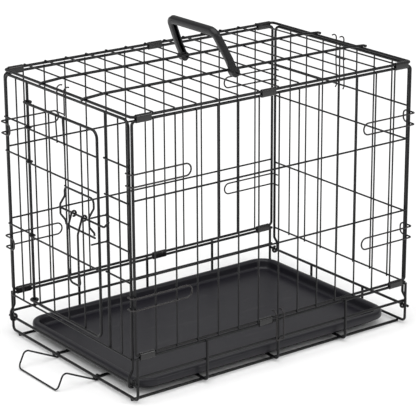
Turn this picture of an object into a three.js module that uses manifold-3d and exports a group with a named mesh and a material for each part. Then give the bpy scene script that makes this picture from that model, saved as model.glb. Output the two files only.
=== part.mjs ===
// Folding wire dog crate: a standing frame, two folding ends, a hinged door with a slide bolt,
// three sprung catches, a slide-out pan with its stop, and a carry handle on top.
// Millimetres, +Z up. The length runs along X with the door end at -X.
import * as THREE from 'three';
import { mergeVertices } from 'three/addons/utils/BufferGeometryUtils.js';
import Module from 'manifold-3d';

const wasm = await Module();
wasm.setup();

// ---------------------------------------------------------------- overall sizes
const crateLength = 612;
const crateWidth = 408;
const crateHeight = 508;

// ---------------------------------------------------------------- wire radii
const frameRadius = 2.4;
const railRadius = 1.6;
const meshRadius = 1.4;
const latchRadius = 1.9;
const catchRadius = 1.3;

// ---------------------------------------------------------------- fits
const gap = 0.3;
const weldBite = 0.35;
const overrun = 2;

// ---------------------------------------------------------------- wire section and bends
const sectionSides = 6;
const sectionAngle = (2 * Math.PI) / sectionSides;
const cornerScale = Math.sqrt(sectionAngle / Math.sin(sectionAngle));
const flatScale = cornerScale * Math.cos(sectionAngle / 2);
const bendSteps = 3;
const quarterTurn = Math.PI / 2;
const bendStep = quarterTurn / bendSteps;

// ---------------------------------------------------------------- base
const floorBarSpacing = 118;
const floorBarInner = 66;
const upstandSpacing = 157;
const upstandBend = 8;
const baseTopHeight = 81;
const baseMiddleHeight = 46.7;
const foldHeight = 36;
const foldWireReach = 3;
const stopUprightY = 77;
const stopUprightFoot = 9;

// ---------------------------------------------------------------- long walls
const railHeights = [363, 226];
const wallMeshCount = 13;
const wallMeshSpacing = 43.9;
const ringBend = 7;

// ---------------------------------------------------------------- corner clips
const clipUpperHeight = 399.8;
const clipLowerHeight = 182.8;
const clipLegSpacing = 21.4;
const clipLength = 190;
const clipCornerBend = 5;
const stubReach = 190;
const stubX = 311.2;
const loopX = 312.4;
const loopReach = 175;
const clipEndBend = 8;

// ---------------------------------------------------------------- hinge sleeves
const sleeveWall = 0.8;
const sleeveLength = 30;
const sleeveCornerX = 281;
const sleeveMiddleX = 22;
const sleeveLowerMiddleX = 26;
const sleeveArcSteps = 5;
const stackPitch = 6.8;

// ---------------------------------------------------------------- top panel
const topRingBend = 7;
const topMeshCount = 13;
const topMeshSpacing = 43.7;
const topMeshReach = 201.2;
const topMiddleY = 66;
const topMiddleReach = 315;
const topMiddleDip = 35;
const topMiddleTip = 507.5;

// ---------------------------------------------------------------- end panels
const postX = 306;
const postY = 193;
const postBend = 12;
const endTopHeight = 499.6;
const endRailHeights = [421, 358, 219.5];
const endBottomRailHeight = 81.3;
const endRailReach = 195.4;
const farMeshSpacing = 49;
const farMeshCount = 7;
const curlRadius = 5.7;
const curlSweep = (270 * Math.PI) / 180;
const jogTop = 62;
const jogBottom = 48;
const panelMeshFoot = 79;
const leftMeshY = 157;
const hingeY = 121;
const openingY = -126;
const rightMeshY = -164;
const stubEndY = 118.6;
const openingStubY = -123.6;

// ---------------------------------------------------------------- door
const doorTopHeight = 463;
const doorBottomHeight = 92.4;
const doorLatchY = -108;
const doorBend = 14;
const doorRailDrop = 4;
const doorMeshYs = [97, 48, -1, -53];
const doorRailCurl = 4.85;
const tongueSpacing = 22;
const tongueY = 4;

// ---------------------------------------------------------------- latch
const boltHeight = 302;
const boltX = 317.2;
const boltLeft = 8;
const boltRight = -132;
const boltTip = { x: 314, y: -142, z: 313 };
const bracketLeft = -3;
const bracketRight = -94;
const bracketTop = 341;
const bracketBottom = 272;
const bracketBend = 9;
const bowBend = 3;
const bowX = 321.9;
const bowHalf = 9;
const bowRun = 22;
const keeperHeights = [322, 275];
const keeperStart = -195;
const keeperEnd = -128;
const keeperTip = 341;
const keeperBend = 5;
const handleCurl = 4.6;
const handleUpperY = -38;
const handleLowerY = -71;
const handleX = 331;
const handleShoulder = 275;
const handleBottom = 180;
const handleInset = 3;
const handleBend = 14;

// ---------------------------------------------------------------- catches
const hookRadius = 7;
const hookRise = 3.4;
const hookPast = Math.PI / 6;
const catchFoot = 466.6;
const farCatchFoot = 421;
const farCatchTipRun = 3;
const farCatchTipDrop = 8;
const baseCatchLeft = -7;
const baseCatchRight = 9;
const baseCatchRadius = 8.7;
const baseCatchFoot = 44;

// ---------------------------------------------------------------- pan
const panBack = 280;
const panFront = -288;
const panHalfWidth = 188.5;
const panCorner = 38;
const panTop = 30.4;
const panWall = 2.4;
const panFloor = 2.6;
const panRim = 13;
const panRimHeight = 13;

// ---------------------------------------------------------------- pan stop
const stopCurl = 4.8;
const stopAngle = (25 * Math.PI) / 180;
const stopArm = 72;
const stopHalf = 64;
const stopY = -12;
const stopLip = 34;
const stopBend = 9;

// ---------------------------------------------------------------- carry handle
const carryFootY = 76;
const carryNeckY = 67;
const carryRise = 84;
const carryLean = (25 * Math.PI) / 180;
const carryBend = 15;
const carryWidth = 14;
const carryDepth = 12;
const gripChamfer = 3;
const carryWall = 3;
const footHeight = 26;
const footSole = 8.6;
const footHoleSides = 6;
const barbReach = 9;
const barbHeight = 5;

// ---------------------------------------------------------------- finishes
const coated = { color: 0x17181a, roughness: 0.34, metalness: 0.35 };
const coatedDark = { color: 0x121315, roughness: 0.3, metalness: 0.4 };
const sleeved = { color: 0x232325, roughness: 0.26, metalness: 0.6 };
const clipped = { color: 0x2a2425, roughness: 0.3, metalness: 0.5 };
const panned = { color: 0x26252b, roughness: 0.42, metalness: 0 };
const gripped = { color: 0x1c1c20, roughness: 0.5, metalness: 0 };

// ---------------------------------------------------------------- derived places
const flat = (radius) => radius * flatScale;
const corner = (radius) => radius * cornerScale;
const weld = (first, second) => flat(first) + flat(second) - weldBite;
const clear = (first, second) => flat(first) + flat(second) + gap;

const endX = crateLength / 2 - frameRadius;
const upstandY = crateWidth / 2;
const wallY = upstandY - weld(frameRadius, frameRadius);
const wallMeshY = wallY + weld(frameRadius, meshRadius);
const wallRailY = wallMeshY - weld(railRadius, meshRadius);
const clipY = wallMeshY + clear(meshRadius, railRadius);
const topZ = crateHeight - frameRadius;
const wallTopZ = topZ - stackPitch;
const wallBottomZ = baseTopHeight + stackPitch;
const topMeshZ = topZ + weld(frameRadius, meshRadius);
const topMiddleZ = topMeshZ + weld(frameRadius, meshRadius);
const floorBarZ = flat(frameRadius);
const crossZ = floorBarZ + clear(frameRadius, frameRadius);
const foldX = endX + clear(frameRadius, frameRadius);
const endRailX = postX + weld(frameRadius, railRadius);
const endMeshX = endRailX - weld(railRadius, meshRadius);
const doorX = postX + curlRadius;
const doorRailX = postX + doorRailCurl;
const doorMeshX = doorX - weld(frameRadius, meshRadius);
const keeperX = postX + corner(frameRadius) + flat(railRadius) + gap;
const bracketX = doorMeshX + clear(meshRadius, latchRadius) + gap;
const panBottom = crossZ + flat(frameRadius) + gap;

const crossWireXs = [-endX, -upstandSpacing, 0, upstandSpacing, endX];
const floorBarYs = [
  -floorBarInner - floorBarSpacing,
  -floorBarInner,
  floorBarInner,
  floorBarInner + floorBarSpacing,
];

const up = new THREE.Vector3(0, 0, 1);
const point = (x, y, z) => new THREE.Vector3(x, y, z);

// A path through given points whose section turns evenly at every one of them.
class Route extends THREE.Curve {
  constructor(points) {
    super();
    this.points = points;
  }

  getPoint(t, target = new THREE.Vector3()) {
    const reach = t * (this.points.length - 1);
    const index = Math.min(Math.floor(reach + 1e-6), this.points.length - 2);
    return target.lerpVectors(this.points[index], this.points[index + 1], reach - index);
  }

  getPointAt(t, target) {
    return this.getPoint(t, target);
  }

  getTangent(t, target = new THREE.Vector3()) {
    const last = this.points.length - 1;
    const index = Math.round(t * last);
    const before = this.points[Math.max(index - 1, 0)];
    const here = this.points[index];
    const after = this.points[Math.min(index + 1, last)];
    const into = here.clone().sub(before).normalize();
    const away = after.clone().sub(here).normalize();
    return target.addVectors(into, away).normalize();
  }

  getTangentAt(t, target) {
    return this.getTangent(t, target);
  }
}

// The wire section, turned so that one of its flats looks along the face direction.
function sectionShape(route, steps, radius, face) {
  const frames = route.computeFrenetFrames(steps, false);
  const turn = Math.atan2(face.dot(frames.binormals[0]), face.dot(frames.normals[0]));
  const outline = [];
  for (let side = 0; side < sectionSides; side += 1) {
    const angle = turn + (side + 0.5) * sectionAngle;
    const reach = corner(radius);
    outline.push(new THREE.Vector2(reach * Math.cos(angle), reach * Math.sin(angle)));
  }
  return new THREE.Shape(outline);
}

// A closed boolean body from a geometry.
function toSolid(geometry) {
  geometry.deleteAttribute('normal');
  geometry.deleteAttribute('uv');
  const merged = mergeVertices(geometry, 1e-4);
  const mesh = new wasm.Mesh({
    numProp: 3,
    vertProperties: new Float32Array(merged.attributes.position.array),
    triVerts: new Uint32Array(merged.index.array),
  });
  return new wasm.Manifold(mesh);
}

// One wire along a list of points.
function wire(points, radius, face = up) {
  const steps = points.length - 1;
  const route = new Route(points);
  const shape = sectionShape(route, steps, radius, face);
  return toSolid(new THREE.ExtrudeGeometry(shape, { steps, extrudePath: route }));
}

// The points of an arc round a centre, from one arm towards a second arm square to it.
function arc(centre, firstArm, secondArm, sweep) {
  const steps = Math.max(1, Math.round(Math.abs(sweep) / bendStep));
  const points = [];
  for (let step = 0; step <= steps; step += 1) {
    const angle = (sweep * step) / steps;
    const spot = centre.clone();
    spot.addScaledVector(firstArm, Math.cos(angle));
    spot.addScaledVector(secondArm, Math.sin(angle));
    points.push(spot);
  }
  return points;
}

// A list of corners with each inner corner bent to a radius, or to its own radius from a list.
function bent(corners, radii) {
  const points = [corners[0]];
  for (let index = 1; index < corners.length - 1; index += 1) {
    const radius = Array.isArray(radii) ? radii[index - 1] : radii;
    const into = corners[index].clone().sub(corners[index - 1]).normalize();
    const away = corners[index + 1].clone().sub(corners[index]).normalize();
    const turn = into.angleTo(away);
    const setback = radius * Math.tan(turn / 2);
    const start = corners[index].clone().addScaledVector(into, -setback);
    const side = away.clone().addScaledVector(into, -away.dot(into)).normalize();
    const centre = start.clone().addScaledVector(side, radius);
    const firstArm = side.clone().multiplyScalar(-radius);
    const secondArm = into.clone().multiplyScalar(radius);
    points.push(...arc(centre, firstArm, secondArm, turn));
  }
  points.push(corners[corners.length - 1]);
  return points;
}

function bentWire(corners, radius, face, bend) {
  return wire(bent(corners, bend), radius, face);
}

function join(solids) {
  let body = solids[0];
  for (const solid of solids.slice(1)) {
    body = body.add(solid);
  }
  return body;
}

// The finished mesh of one piece.
function piece(name, solid, finish) {
  const { numProp, vertProperties, triVerts } = solid.getMesh();
  const positions = new Float32Array((vertProperties.length / numProp) * 3);
  for (let index = 0; index < positions.length / 3; index += 1) {
    for (let axis = 0; axis < 3; axis += 1) {
      positions[index * 3 + axis] = vertProperties[index * numProp + axis];
    }
  }
  const geometry = new THREE.BufferGeometry();
  geometry.setAttribute('position', new THREE.BufferAttribute(positions, 3));
  geometry.setIndex(new THREE.BufferAttribute(new Uint32Array(triVerts), 1));
  const mesh = new THREE.Mesh(geometry, new THREE.MeshStandardMaterial(finish));
  mesh.name = name;
  return mesh;
}

// ---------------------------------------------------------------- base
function floorBar(y) {
  return wire([point(-endX, y, floorBarZ), point(endX, y, floorBarZ)], frameRadius);
}

function crossWire(x) {
  const reach = upstandY - upstandBend - overrun - gap;
  return wire([point(x, -reach, crossZ), point(x, reach, crossZ)], frameRadius);
}

// The upstands on one long side with the two wires that run along them.
function baseSkirt(side) {
  const solids = [];
  const outward = point(0, side, 0);
  const foot = upstandY - upstandBend;
  for (const x of crossWireXs) {
    const centre = point(x, side * foot, crossZ + upstandBend);
    const bend = arc(centre, point(0, 0, -upstandBend), outward.clone().multiplyScalar(upstandBend),
      quarterTurn);
    const start = point(x, side * (foot - overrun), crossZ);
    const tip = point(x, side * upstandY, baseTopHeight + overrun);
    solids.push(wire([start, ...bend, tip], frameRadius, point(1, 0, 0)));
  }
  for (const z of [baseTopHeight, baseMiddleHeight]) {
    const start = point(-endX - overrun, side * wallY, z);
    const end = point(endX + overrun, side * wallY, z);
    solids.push(wire([start, end], frameRadius, outward));
  }
  return join(solids);
}

function foldWire(end) {
  const reach = upstandY + foldWireReach;
  const start = point(end * foldX, -reach, foldHeight);
  const finish = point(end * foldX, reach, foldHeight);
  return wire([start, finish], frameRadius, point(-end, 0, 0));
}

function farFoldWire() {
  const solids = [foldWire(1)];
  for (const y of [-stopUprightY, stopUprightY]) {
    const foot = point(foldX, y, stopUprightFoot);
    solids.push(wire([foot, point(foldX, y, foldHeight)], frameRadius, point(-1, 0, 0)));
  }
  return join(solids);
}

// ---------------------------------------------------------------- long walls
// A closed wire rectangle made of two halves that meet in the middle of the long runs.
function wireRing(corners, radius, face, bend) {
  const [a, b, c, d] = corners;
  const upperMiddle = a.clone().lerp(d, 0.5);
  const lowerMiddle = b.clone().lerp(c, 0.5);
  const upperRun = d.clone().sub(a).normalize().multiplyScalar(overrun);
  const first = [upperMiddle.clone().add(upperRun), a, b, lowerMiddle.clone().add(upperRun)];
  const second = [upperMiddle.clone().sub(upperRun), d, c, lowerMiddle.clone().sub(upperRun)];
  return join([
    bentWire(first, radius, face, bend),
    bentWire(second, radius, face, bend),
  ]);
}

function longWall(side) {
  const outward = point(0, side, 0);
  const ring = [
    point(-endX, side * wallY, wallTopZ),
    point(-endX, side * wallY, wallBottomZ),
    point(endX, side * wallY, wallBottomZ),
    point(endX, side * wallY, wallTopZ),
  ];
  const solids = [wireRing(ring, frameRadius, outward, ringBend)];
  for (const z of railHeights) {
    const start = point(-endX, side * wallRailY, z);
    solids.push(wire([start, point(endX, side * wallRailY, z)], railRadius, outward));
  }
  const first = -((wallMeshCount - 1) / 2) * wallMeshSpacing;
  for (let index = 0; index < wallMeshCount; index += 1) {
    const x = first + index * wallMeshSpacing;
    const foot = point(x, side * wallMeshY, wallBottomZ - overrun);
    const head = point(x, side * wallMeshY, wallTopZ + overrun);
    solids.push(wire([foot, head], meshRadius, outward));
  }
  return join(solids);
}

// ---------------------------------------------------------------- corner clips
// A hairpin lying on the outer face of a long wall, its two ends turned in past the end post.
function openClip(end, side, height) {
  const top = height + clipLegSpacing / 2;
  const bottom = height - clipLegSpacing / 2;
  const leg = (z) => [
    point(end * stubX, side * stubReach, z),
    point(end * stubX, side * clipY, z),
  ];
  const upper = bent([...leg(top), point(end * clipLength, side * clipY, top)], clipCornerBend);
  const lower = bent([...leg(bottom), point(end * clipLength, side * clipY, bottom)], clipCornerBend);
  const half = clipLegSpacing / 2;
  const turn = arc(point(end * (clipLength + half), side * clipY, height), point(0, 0, half),
    point(-end * half, 0, 0), Math.PI);
  const points = [...upper.slice(0, -1), ...turn, ...lower.slice(0, -1).reverse()];
  return wire(points, railRadius, point(-end, 0, 0));
}

// The same hairpin with a loop round the corner that closes it.
function closedClip(end, side, height) {
  const half = clipLegSpacing / 2;
  const start = side * (loopReach + clipEndBend + overrun);
  const leg = (z) => bent([
    point(end * loopX, start, z),
    point(end * loopX, side * clipY, z),
    point(end * clipLength, side * clipY, z),
  ], clipCornerBend).slice(0, -1);
  const turn = arc(point(end * (clipLength + half), side * clipY, height), point(0, 0, half),
    point(-end * half, 0, 0), Math.PI);
  const hairpin = [...leg(height + half), ...turn, ...leg(height - half).reverse()];
  const loop = bent([
    point(end * loopX, start + side * overrun, height + half),
    point(end * loopX, side * loopReach, height + half),
    point(end * loopX, side * loopReach, height - half),
    point(end * loopX, start + side * overrun, height - half),
  ], clipEndBend);
  const outward = point(end, 0, 0);
  return join([wire(hairpin, railRadius, outward), wire(loop, railRadius, outward)]);
}

// ---------------------------------------------------------------- hinge sleeves
function stadium(centreZ, radius) {
  const outline = [];
  for (const [z, from] of [[centreZ + stackPitch / 2, 0], [centreZ - stackPitch / 2, Math.PI]]) {
    for (let step = 0; step <= sleeveArcSteps; step += 1) {
      const angle = from + (Math.PI * step) / sleeveArcSteps;
      outline.push(new THREE.Vector2(radius * Math.cos(angle), z + radius * Math.sin(angle)));
    }
  }
  return outline;
}

// A pressed sleeve round the two wires that meet at a folding edge.
function sleeve(x, side, lowerZ) {
  const inner = (corner(frameRadius) + gap) / Math.cos(Math.PI / sleeveArcSteps / 2);
  const shape = new THREE.Shape(stadium(0, inner + sleeveWall));
  shape.holes.push(new THREE.Path(stadium(0, inner).reverse()));
  const geometry = new THREE.ExtrudeGeometry(shape, { depth: sleeveLength, bevelEnabled: false });
  geometry.translate(0, 0, -sleeveLength / 2);
  geometry.rotateX(quarterTurn);
  geometry.rotateZ(quarterTurn);
  geometry.translate(x, side * wallY, lowerZ + stackPitch / 2);
  return toSolid(geometry);
}

// ---------------------------------------------------------------- top panel
function topPanel() {
  const ring = [
    point(-endX, wallY, topZ),
    point(-endX, -wallY, topZ),
    point(endX, -wallY, topZ),
    point(endX, wallY, topZ),
  ];
  const solids = [wireRing(ring, frameRadius, up, topRingBend)];
  const first = -((topMeshCount - 1) / 2) * topMeshSpacing;
  for (let index = 0; index < topMeshCount; index += 1) {
    const x = first + index * topMeshSpacing;
    const start = point(x, -topMeshReach, topMeshZ);
    solids.push(wire([start, point(x, topMeshReach, topMeshZ)], meshRadius, up));
  }
  const middleEnd = topZ + weld(frameRadius, frameRadius);
  for (const y of [-topMiddleY, topMiddleY]) {
    const points = [
      point(-topMiddleReach, y, topMiddleTip),
      point(-endX, y, middleEnd),
      point(-endX + topMiddleDip, y, topMiddleZ),
      point(endX - topMiddleDip, y, topMiddleZ),
      point(endX, y, middleEnd),
      point(topMiddleReach, y, topMiddleTip),
    ];
    solids.push(wire(points, frameRadius, up));
  }
  return join(solids);
}

// ---------------------------------------------------------------- end panels
// The foot of a post: a jog outward and an open curl round the fold wire.
function postFoot(end, y) {
  const outside = end * (foldX + curlRadius);
  const curl = arc(point(end * foldX, y, foldHeight), point(end * curlRadius, 0, 0),
    point(0, 0, -curlRadius), curlSweep);
  return [point(end * postX, y, jogTop), point(outside, y, jogBottom), ...curl];
}

function postWire(end, y, side, headEnd) {
  const foot = postFoot(end, y).reverse();
  const head = bent([
    point(end * postX, y, jogTop + overrun),
    point(end * postX, y, endTopHeight),
    point(end * postX, headEnd, endTopHeight),
  ], postBend);
  return wire([...foot, ...head.slice(1)], frameRadius, point(0, side, 0));
}

function endRail(end, from, to, z) {
  const start = point(end * endRailX, from, z);
  return wire([start, point(end * endRailX, to, z)], railRadius, point(end, 0, 0));
}

function endMesh(end, y) {
  const foot = point(end * endMeshX, y, panelMeshFoot);
  const head = point(end * endMeshX, y, endTopHeight + overrun / 2);
  return wire([foot, head], meshRadius, point(end, 0, 0));
}

function farEndPanel() {
  const solids = [
    postWire(1, postY, 1, -overrun),
    postWire(1, -postY, -1, overrun),
  ];
  for (const z of [...endRailHeights, endBottomRailHeight]) {
    solids.push(endRail(1, -endRailReach, endRailReach, z));
  }
  for (let index = 0; index < farMeshCount; index += 1) {
    solids.push(endMesh(1, (index - (farMeshCount - 1) / 2) * farMeshSpacing));
  }
  return join(solids);
}

function upright(y, radius, foot) {
  const x = radius === frameRadius ? -postX : -endMeshX;
  const start = point(x, y, foot);
  return wire([start, point(x, y, endTopHeight + overrun / 2)], radius, point(-1, 0, 0));
}

// The part of the door end beside the hinge.
function hingeStrip() {
  const cut = hingeY - frameRadius - overrun;
  const solids = [
    postWire(-1, postY, 1, cut),
    upright(hingeY, frameRadius, endBottomRailHeight - overrun),
    upright(leftMeshY, meshRadius, panelMeshFoot),
    endRail(-1, stubEndY, endRailReach, endBottomRailHeight),
  ];
  for (const z of endRailHeights) {
    solids.push(endRail(-1, stubEndY, endRailReach, z));
  }
  return join(solids);
}

// The part of the door end beside the latch.
function latchStrip() {
  const cut = openingY + frameRadius + overrun;
  const solids = [
    postWire(-1, -postY, -1, cut),
    upright(openingY, frameRadius, endBottomRailHeight - overrun),
    upright(rightMeshY, meshRadius, panelMeshFoot),
    endRail(-1, -endRailReach, openingStubY, endBottomRailHeight),
  ];
  for (const z of endRailHeights) {
    solids.push(endRail(-1, -endRailReach, openingStubY, z));
  }
  return join(solids);
}

function doorwayTopRail() {
  const left = hingeY - frameRadius - overrun - gap;
  const right = openingY + frameRadius + overrun + gap;
  const start = point(-postX, right, endTopHeight);
  return wire([start, point(-postX, left, endTopHeight)], frameRadius, point(-1, 0, 0));
}

function doorwayBottomRail() {
  return endRail(-1, openingStubY + gap, stubEndY - gap, endBottomRailHeight);
}

function boltKeeper(z) {
  const corners = [
    point(-keeperX, keeperStart, z),
    point(-keeperX, keeperEnd, z),
    point(-keeperTip, keeperEnd, z),
  ];
  return bentWire(corners, railRadius, point(1, 0, 0), keeperBend);
}

// ---------------------------------------------------------------- door
// An open curl round the hinge wire, tangent to a bar on the outer face.
function doorCurl(x, z, radius) {
  return arc(point(-postX, hingeY, z), point(-radius, 0, 0), point(0, radius, 0), curlSweep);
}

function doorFrame() {
  const corners = [
    point(-doorX, hingeY, doorTopHeight),
    point(-doorX, doorLatchY, doorTopHeight),
    point(-doorX, doorLatchY, doorBottomHeight),
    point(-doorX, hingeY, doorBottomHeight),
  ];
  const upperCurl = doorCurl(doorX, doorTopHeight, curlRadius).reverse();
  const lowerCurl = doorCurl(doorX, doorBottomHeight, curlRadius);
  const points = [
    ...upperCurl.slice(0, -1),
    ...bent(corners, doorBend),
    ...lowerCurl.slice(1),
  ];
  return wire(points, frameRadius, point(1, 0, 0));
}

function doorRail(z) {
  const curl = doorCurl(doorRailX, z, doorRailCurl);
  const start = point(-doorRailX, doorLatchY, z);
  return wire([start, ...curl], railRadius, point(1, 0, 0));
}

function door() {
  const solids = [doorFrame()];
  for (const z of endRailHeights) {
    solids.push(doorRail(z - doorRailDrop));
  }
  for (const y of doorMeshYs) {
    const foot = point(-doorMeshX, y, doorBottomHeight - overrun / 2);
    const head = point(-doorMeshX, y, doorTopHeight + overrun / 2);
    solids.push(wire([foot, head], meshRadius, point(-1, 0, 0)));
  }
  const tongueX = doorX + weld(frameRadius, catchRadius);
  const railFace = doorRailX + weld(railRadius, catchRadius);
  for (const side of [-1, 1]) {
    const y = tongueY + (side * tongueSpacing) / 2;
    const points = [
      point(-tongueX, y, doorTopHeight + overrun),
      point(-tongueX, y, doorTopHeight - overrun * 2),
      point(-railFace, y, endRailHeights[0] - doorRailDrop + overrun * 2),
      point(-railFace, y, endRailHeights[0] - doorRailDrop - overrun),
    ];
    solids.push(wire(points, catchRadius, point(1, 0, 0)));
  }
  return join(solids);
}

// ---------------------------------------------------------------- latch
// A rounded wire rectangle whose two upright sides bow out over the bolt. The wire's two ends
// meet at the lower corner on the latch side.
function latchBracket() {
  const bow = (y) => [
    point(-bracketX, y, boltHeight + bowRun),
    point(-bowX, y, boltHeight + bowHalf),
    point(-bowX, y, boltHeight - bowHalf),
    point(-bracketX, y, boltHeight - bowRun),
  ];
  const corners = [
    point(-bracketX, bracketRight, bracketBottom + clear(latchRadius, latchRadius)),
    ...bow(bracketRight).reverse(),
    point(-bracketX, bracketRight, bracketTop),
    point(-bracketX, bracketLeft, bracketTop),
    ...bow(bracketLeft),
    point(-bracketX, bracketLeft, bracketBottom),
    point(-bracketX, bracketRight - overrun, bracketBottom),
  ];
  const bows = [bowBend, bowBend, bowBend, bowBend];
  const bends = [...bows, bracketBend, bracketBend, ...bows, bracketBend];
  return wire(bent(corners, bends), latchRadius, point(1, 0, 0));
}

function latchBolt() {
  const points = [
    point(-boltX, boltLeft, boltHeight),
    point(-boltX, boltRight, boltHeight),
    point(-boltTip.x, boltTip.y, boltTip.z),
  ];
  return wire(points, latchRadius, point(-1, 0, 0));
}

function latchHandle() {
  const drop = handleShoulder - boltHeight;
  const reach = boltX - handleX;
  const touch = Math.atan2(drop, reach) - Math.acos(handleCurl / Math.hypot(drop, reach));
  const arm = (angle) => point(handleCurl * Math.cos(angle), 0, handleCurl * Math.sin(angle));
  const curl = (y) => arc(point(-boltX, y, boltHeight), arm(touch), arm(touch - quarterTurn),
    curlSweep);
  const inset = handleBottom + handleBend * 2;
  const run = [
    point(-handleX, handleUpperY, handleShoulder),
    point(-handleX, handleUpperY, inset),
    point(-handleX + handleInset, handleUpperY, handleBottom),
    point(-handleX + handleInset, handleLowerY, handleBottom),
    point(-handleX, handleLowerY, inset),
    point(-handleX, handleLowerY, handleShoulder),
  ];
  const upper = curl(handleUpperY);
  const lower = curl(handleLowerY);
  const legs = bent([upper[0], ...run, lower[0]], handleBend / 2);
  const points = [...upper.reverse().slice(0, -1), ...legs, ...lower.slice(1)];
  return wire(points, latchRadius, point(0, 1, 0));
}

// ---------------------------------------------------------------- catches
// A hook that starts past the top of its ring and comes down the outer side.
function hook(centre, outward, radius) {
  const over = arc(centre, outward.clone().multiplyScalar(radius), point(0, 0, radius),
    quarterTurn + hookPast);
  return over.reverse();
}

function topCatch(end, footPoints) {
  const solids = [];
  for (const side of [-1, 1]) {
    const y = tongueY + (side * tongueSpacing) / 2;
    const centre = point(end * endX, y, topZ + hookRise);
    const points = hook(centre, point(end, 0, 0), hookRadius);
    points.push(...footPoints(y));
    solids.push(wire(points, catchRadius, point(0, 1, 0)));
  }
  const bridge = catchBridge(end);
  return join([...solids, bridge]);
}

// The short wire that ties the two legs of a top catch together.
function catchBridge(end) {
  const x = end * (endX + hookRadius + weld(catchRadius, catchRadius));
  const z = catchFoot + overrun * 2;
  const half = tongueSpacing / 2 + overrun;
  return wire([point(x, tongueY - half, z), point(x, tongueY + half, z)], catchRadius,
    point(end, 0, 0));
}

function nearTopCatch() {
  const x = -endX - hookRadius;
  return topCatch(-1, (y) => [point(x, y, catchFoot)]);
}

function farTopCatch() {
  const x = endX + hookRadius;
  const outer = endRailX + clear(railRadius, catchRadius) + gap;
  return topCatch(1, (y) => [
    point(x, y, catchFoot),
    point(outer, y, farCatchFoot + farCatchTipDrop),
    point(outer, y, farCatchFoot - farCatchTipDrop / 2),
    point(outer - farCatchTipRun, y, farCatchFoot - farCatchTipDrop),
  ]);
}

function baseCatch() {
  const solids = [];
  const y = -wallY;
  for (const x of [baseCatchLeft, baseCatchRight]) {
    const centre = point(x, y, wallBottomZ + hookRise);
    const points = hook(centre, point(0, -1, 0), baseCatchRadius);
    points.push(point(x, y - baseCatchRadius, baseCatchFoot));
    solids.push(wire(points, catchRadius, point(1, 0, 0)));
  }
  const start = point(baseCatchLeft - overrun / 2, y - baseCatchRadius, baseCatchFoot + overrun);
  const end = point(baseCatchRight + overrun / 2, y - baseCatchRadius, baseCatchFoot + overrun);
  solids.push(wire([start, end], catchRadius, point(0, -1, 0)));
  return join(solids);
}

// ---------------------------------------------------------------- pan
function roundedBlock(inset, bottom, top, cornerRadius) {
  const left = panFront + inset;
  const right = panBack - inset;
  const half = panHalfWidth - inset;
  const radius = cornerRadius - inset;
  const shape = new THREE.Shape();
  shape.moveTo(left + radius, -half);
  shape.lineTo(right - radius, -half);
  shape.absarc(right - radius, -half + radius, radius, -quarterTurn, 0, false);
  shape.lineTo(right, half - radius);
  shape.absarc(right - radius, half - radius, radius, 0, quarterTurn, false);
  shape.lineTo(left + radius, half);
  shape.absarc(left + radius, half - radius, radius, quarterTurn, Math.PI, false);
  shape.lineTo(left, -half + radius);
  shape.absarc(left + radius, -half + radius, radius, Math.PI, Math.PI + quarterTurn, false);
  const depth = top - bottom;
  const geometry = new THREE.ExtrudeGeometry(shape, { depth, bevelEnabled: false, curveSegments: 7 });
  geometry.translate(0, 0, bottom);
  return toSolid(geometry);
}

function pan() {
  const wallInset = panRim - panWall;
  const rim = roundedBlock(0, panTop - panRimHeight, panTop, panCorner);
  const tub = roundedBlock(wallInset, panBottom, panTop - panRimHeight, panCorner);
  const underRim = roundedBlock(panWall, panTop - panRimHeight - overrun, panTop - panWall, panCorner);
  const tubSkin = roundedBlock(wallInset, panBottom, panTop, panCorner);
  const hollow = roundedBlock(panRim, panBottom + panFloor, panTop + overrun, panCorner);
  const shell = rim.subtract(underRim).add(tubSkin);
  return shell.add(tub).subtract(hollow);
}

// ---------------------------------------------------------------- pan stop
function panStop() {
  const along = point(-Math.cos(stopAngle), 0, Math.sin(stopAngle));
  const down = point(-Math.sin(stopAngle), 0, -Math.cos(stopAngle));
  const side = (y) => {
    const centre = point(-endX, y, crossZ);
    const sweep = Math.PI * 1.2;
    const curl = arc(centre, down.clone().multiplyScalar(stopCurl),
      along.clone().multiplyScalar(-stopCurl), sweep).reverse();
    const elbow = curl[curl.length - 1].clone().addScaledVector(along, stopArm);
    const tip = elbow.clone().addScaledVector(down, stopLip);
    return { curl, elbow, tip };
  };
  const back = side(stopY + stopHalf);
  const front = side(stopY - stopHalf);
  const run = [
    back.curl[back.curl.length - 1], back.elbow, back.tip,
    front.tip, front.elbow, front.curl[front.curl.length - 1],
  ];
  const points = [
    ...back.curl.slice(0, -1),
    ...bent(run, stopBend),
    ...front.curl.slice(0, -1).reverse(),
  ];
  return wire(points, railRadius, point(0, 1, 0));
}

// ---------------------------------------------------------------- carry handle
function block(width, depth, height) {
  return new THREE.BoxGeometry(depth, width, height);
}

// A channel grip between two feet, each foot pierced by the middle cross wire.
function carryHandle() {
  const rise = point(-Math.sin(carryLean), 0, Math.cos(carryLean));
  const at = (y, distance) => point(0, y, topMeshZ).addScaledVector(rise, distance);
  const corners = [
    at(-carryFootY, -overrun),
    at(-carryFootY, footHeight),
    at(-carryNeckY, carryRise),
    at(carryNeckY, carryRise),
    at(carryFootY, footHeight),
    at(carryFootY, -overrun),
  ];
  const outer = gripShape(carryWidth, carryDepth);
  const route = new Route(bent(corners, carryBend));
  const steps = route.points.length - 1;
  const grip = toSolid(new THREE.ExtrudeGeometry(outer, { steps, extrudePath: route }));
  const soles = [-carryFootY, carryFootY].map((y) => foot(y, at));
  const holes = [-carryFootY, carryFootY].map((y) => footBore(y));
  let body = join([grip, ...soles]);
  body = body.subtract(gripChannel(at));
  for (const hole of holes) {
    body = body.subtract(hole);
  }
  return body;
}

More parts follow.
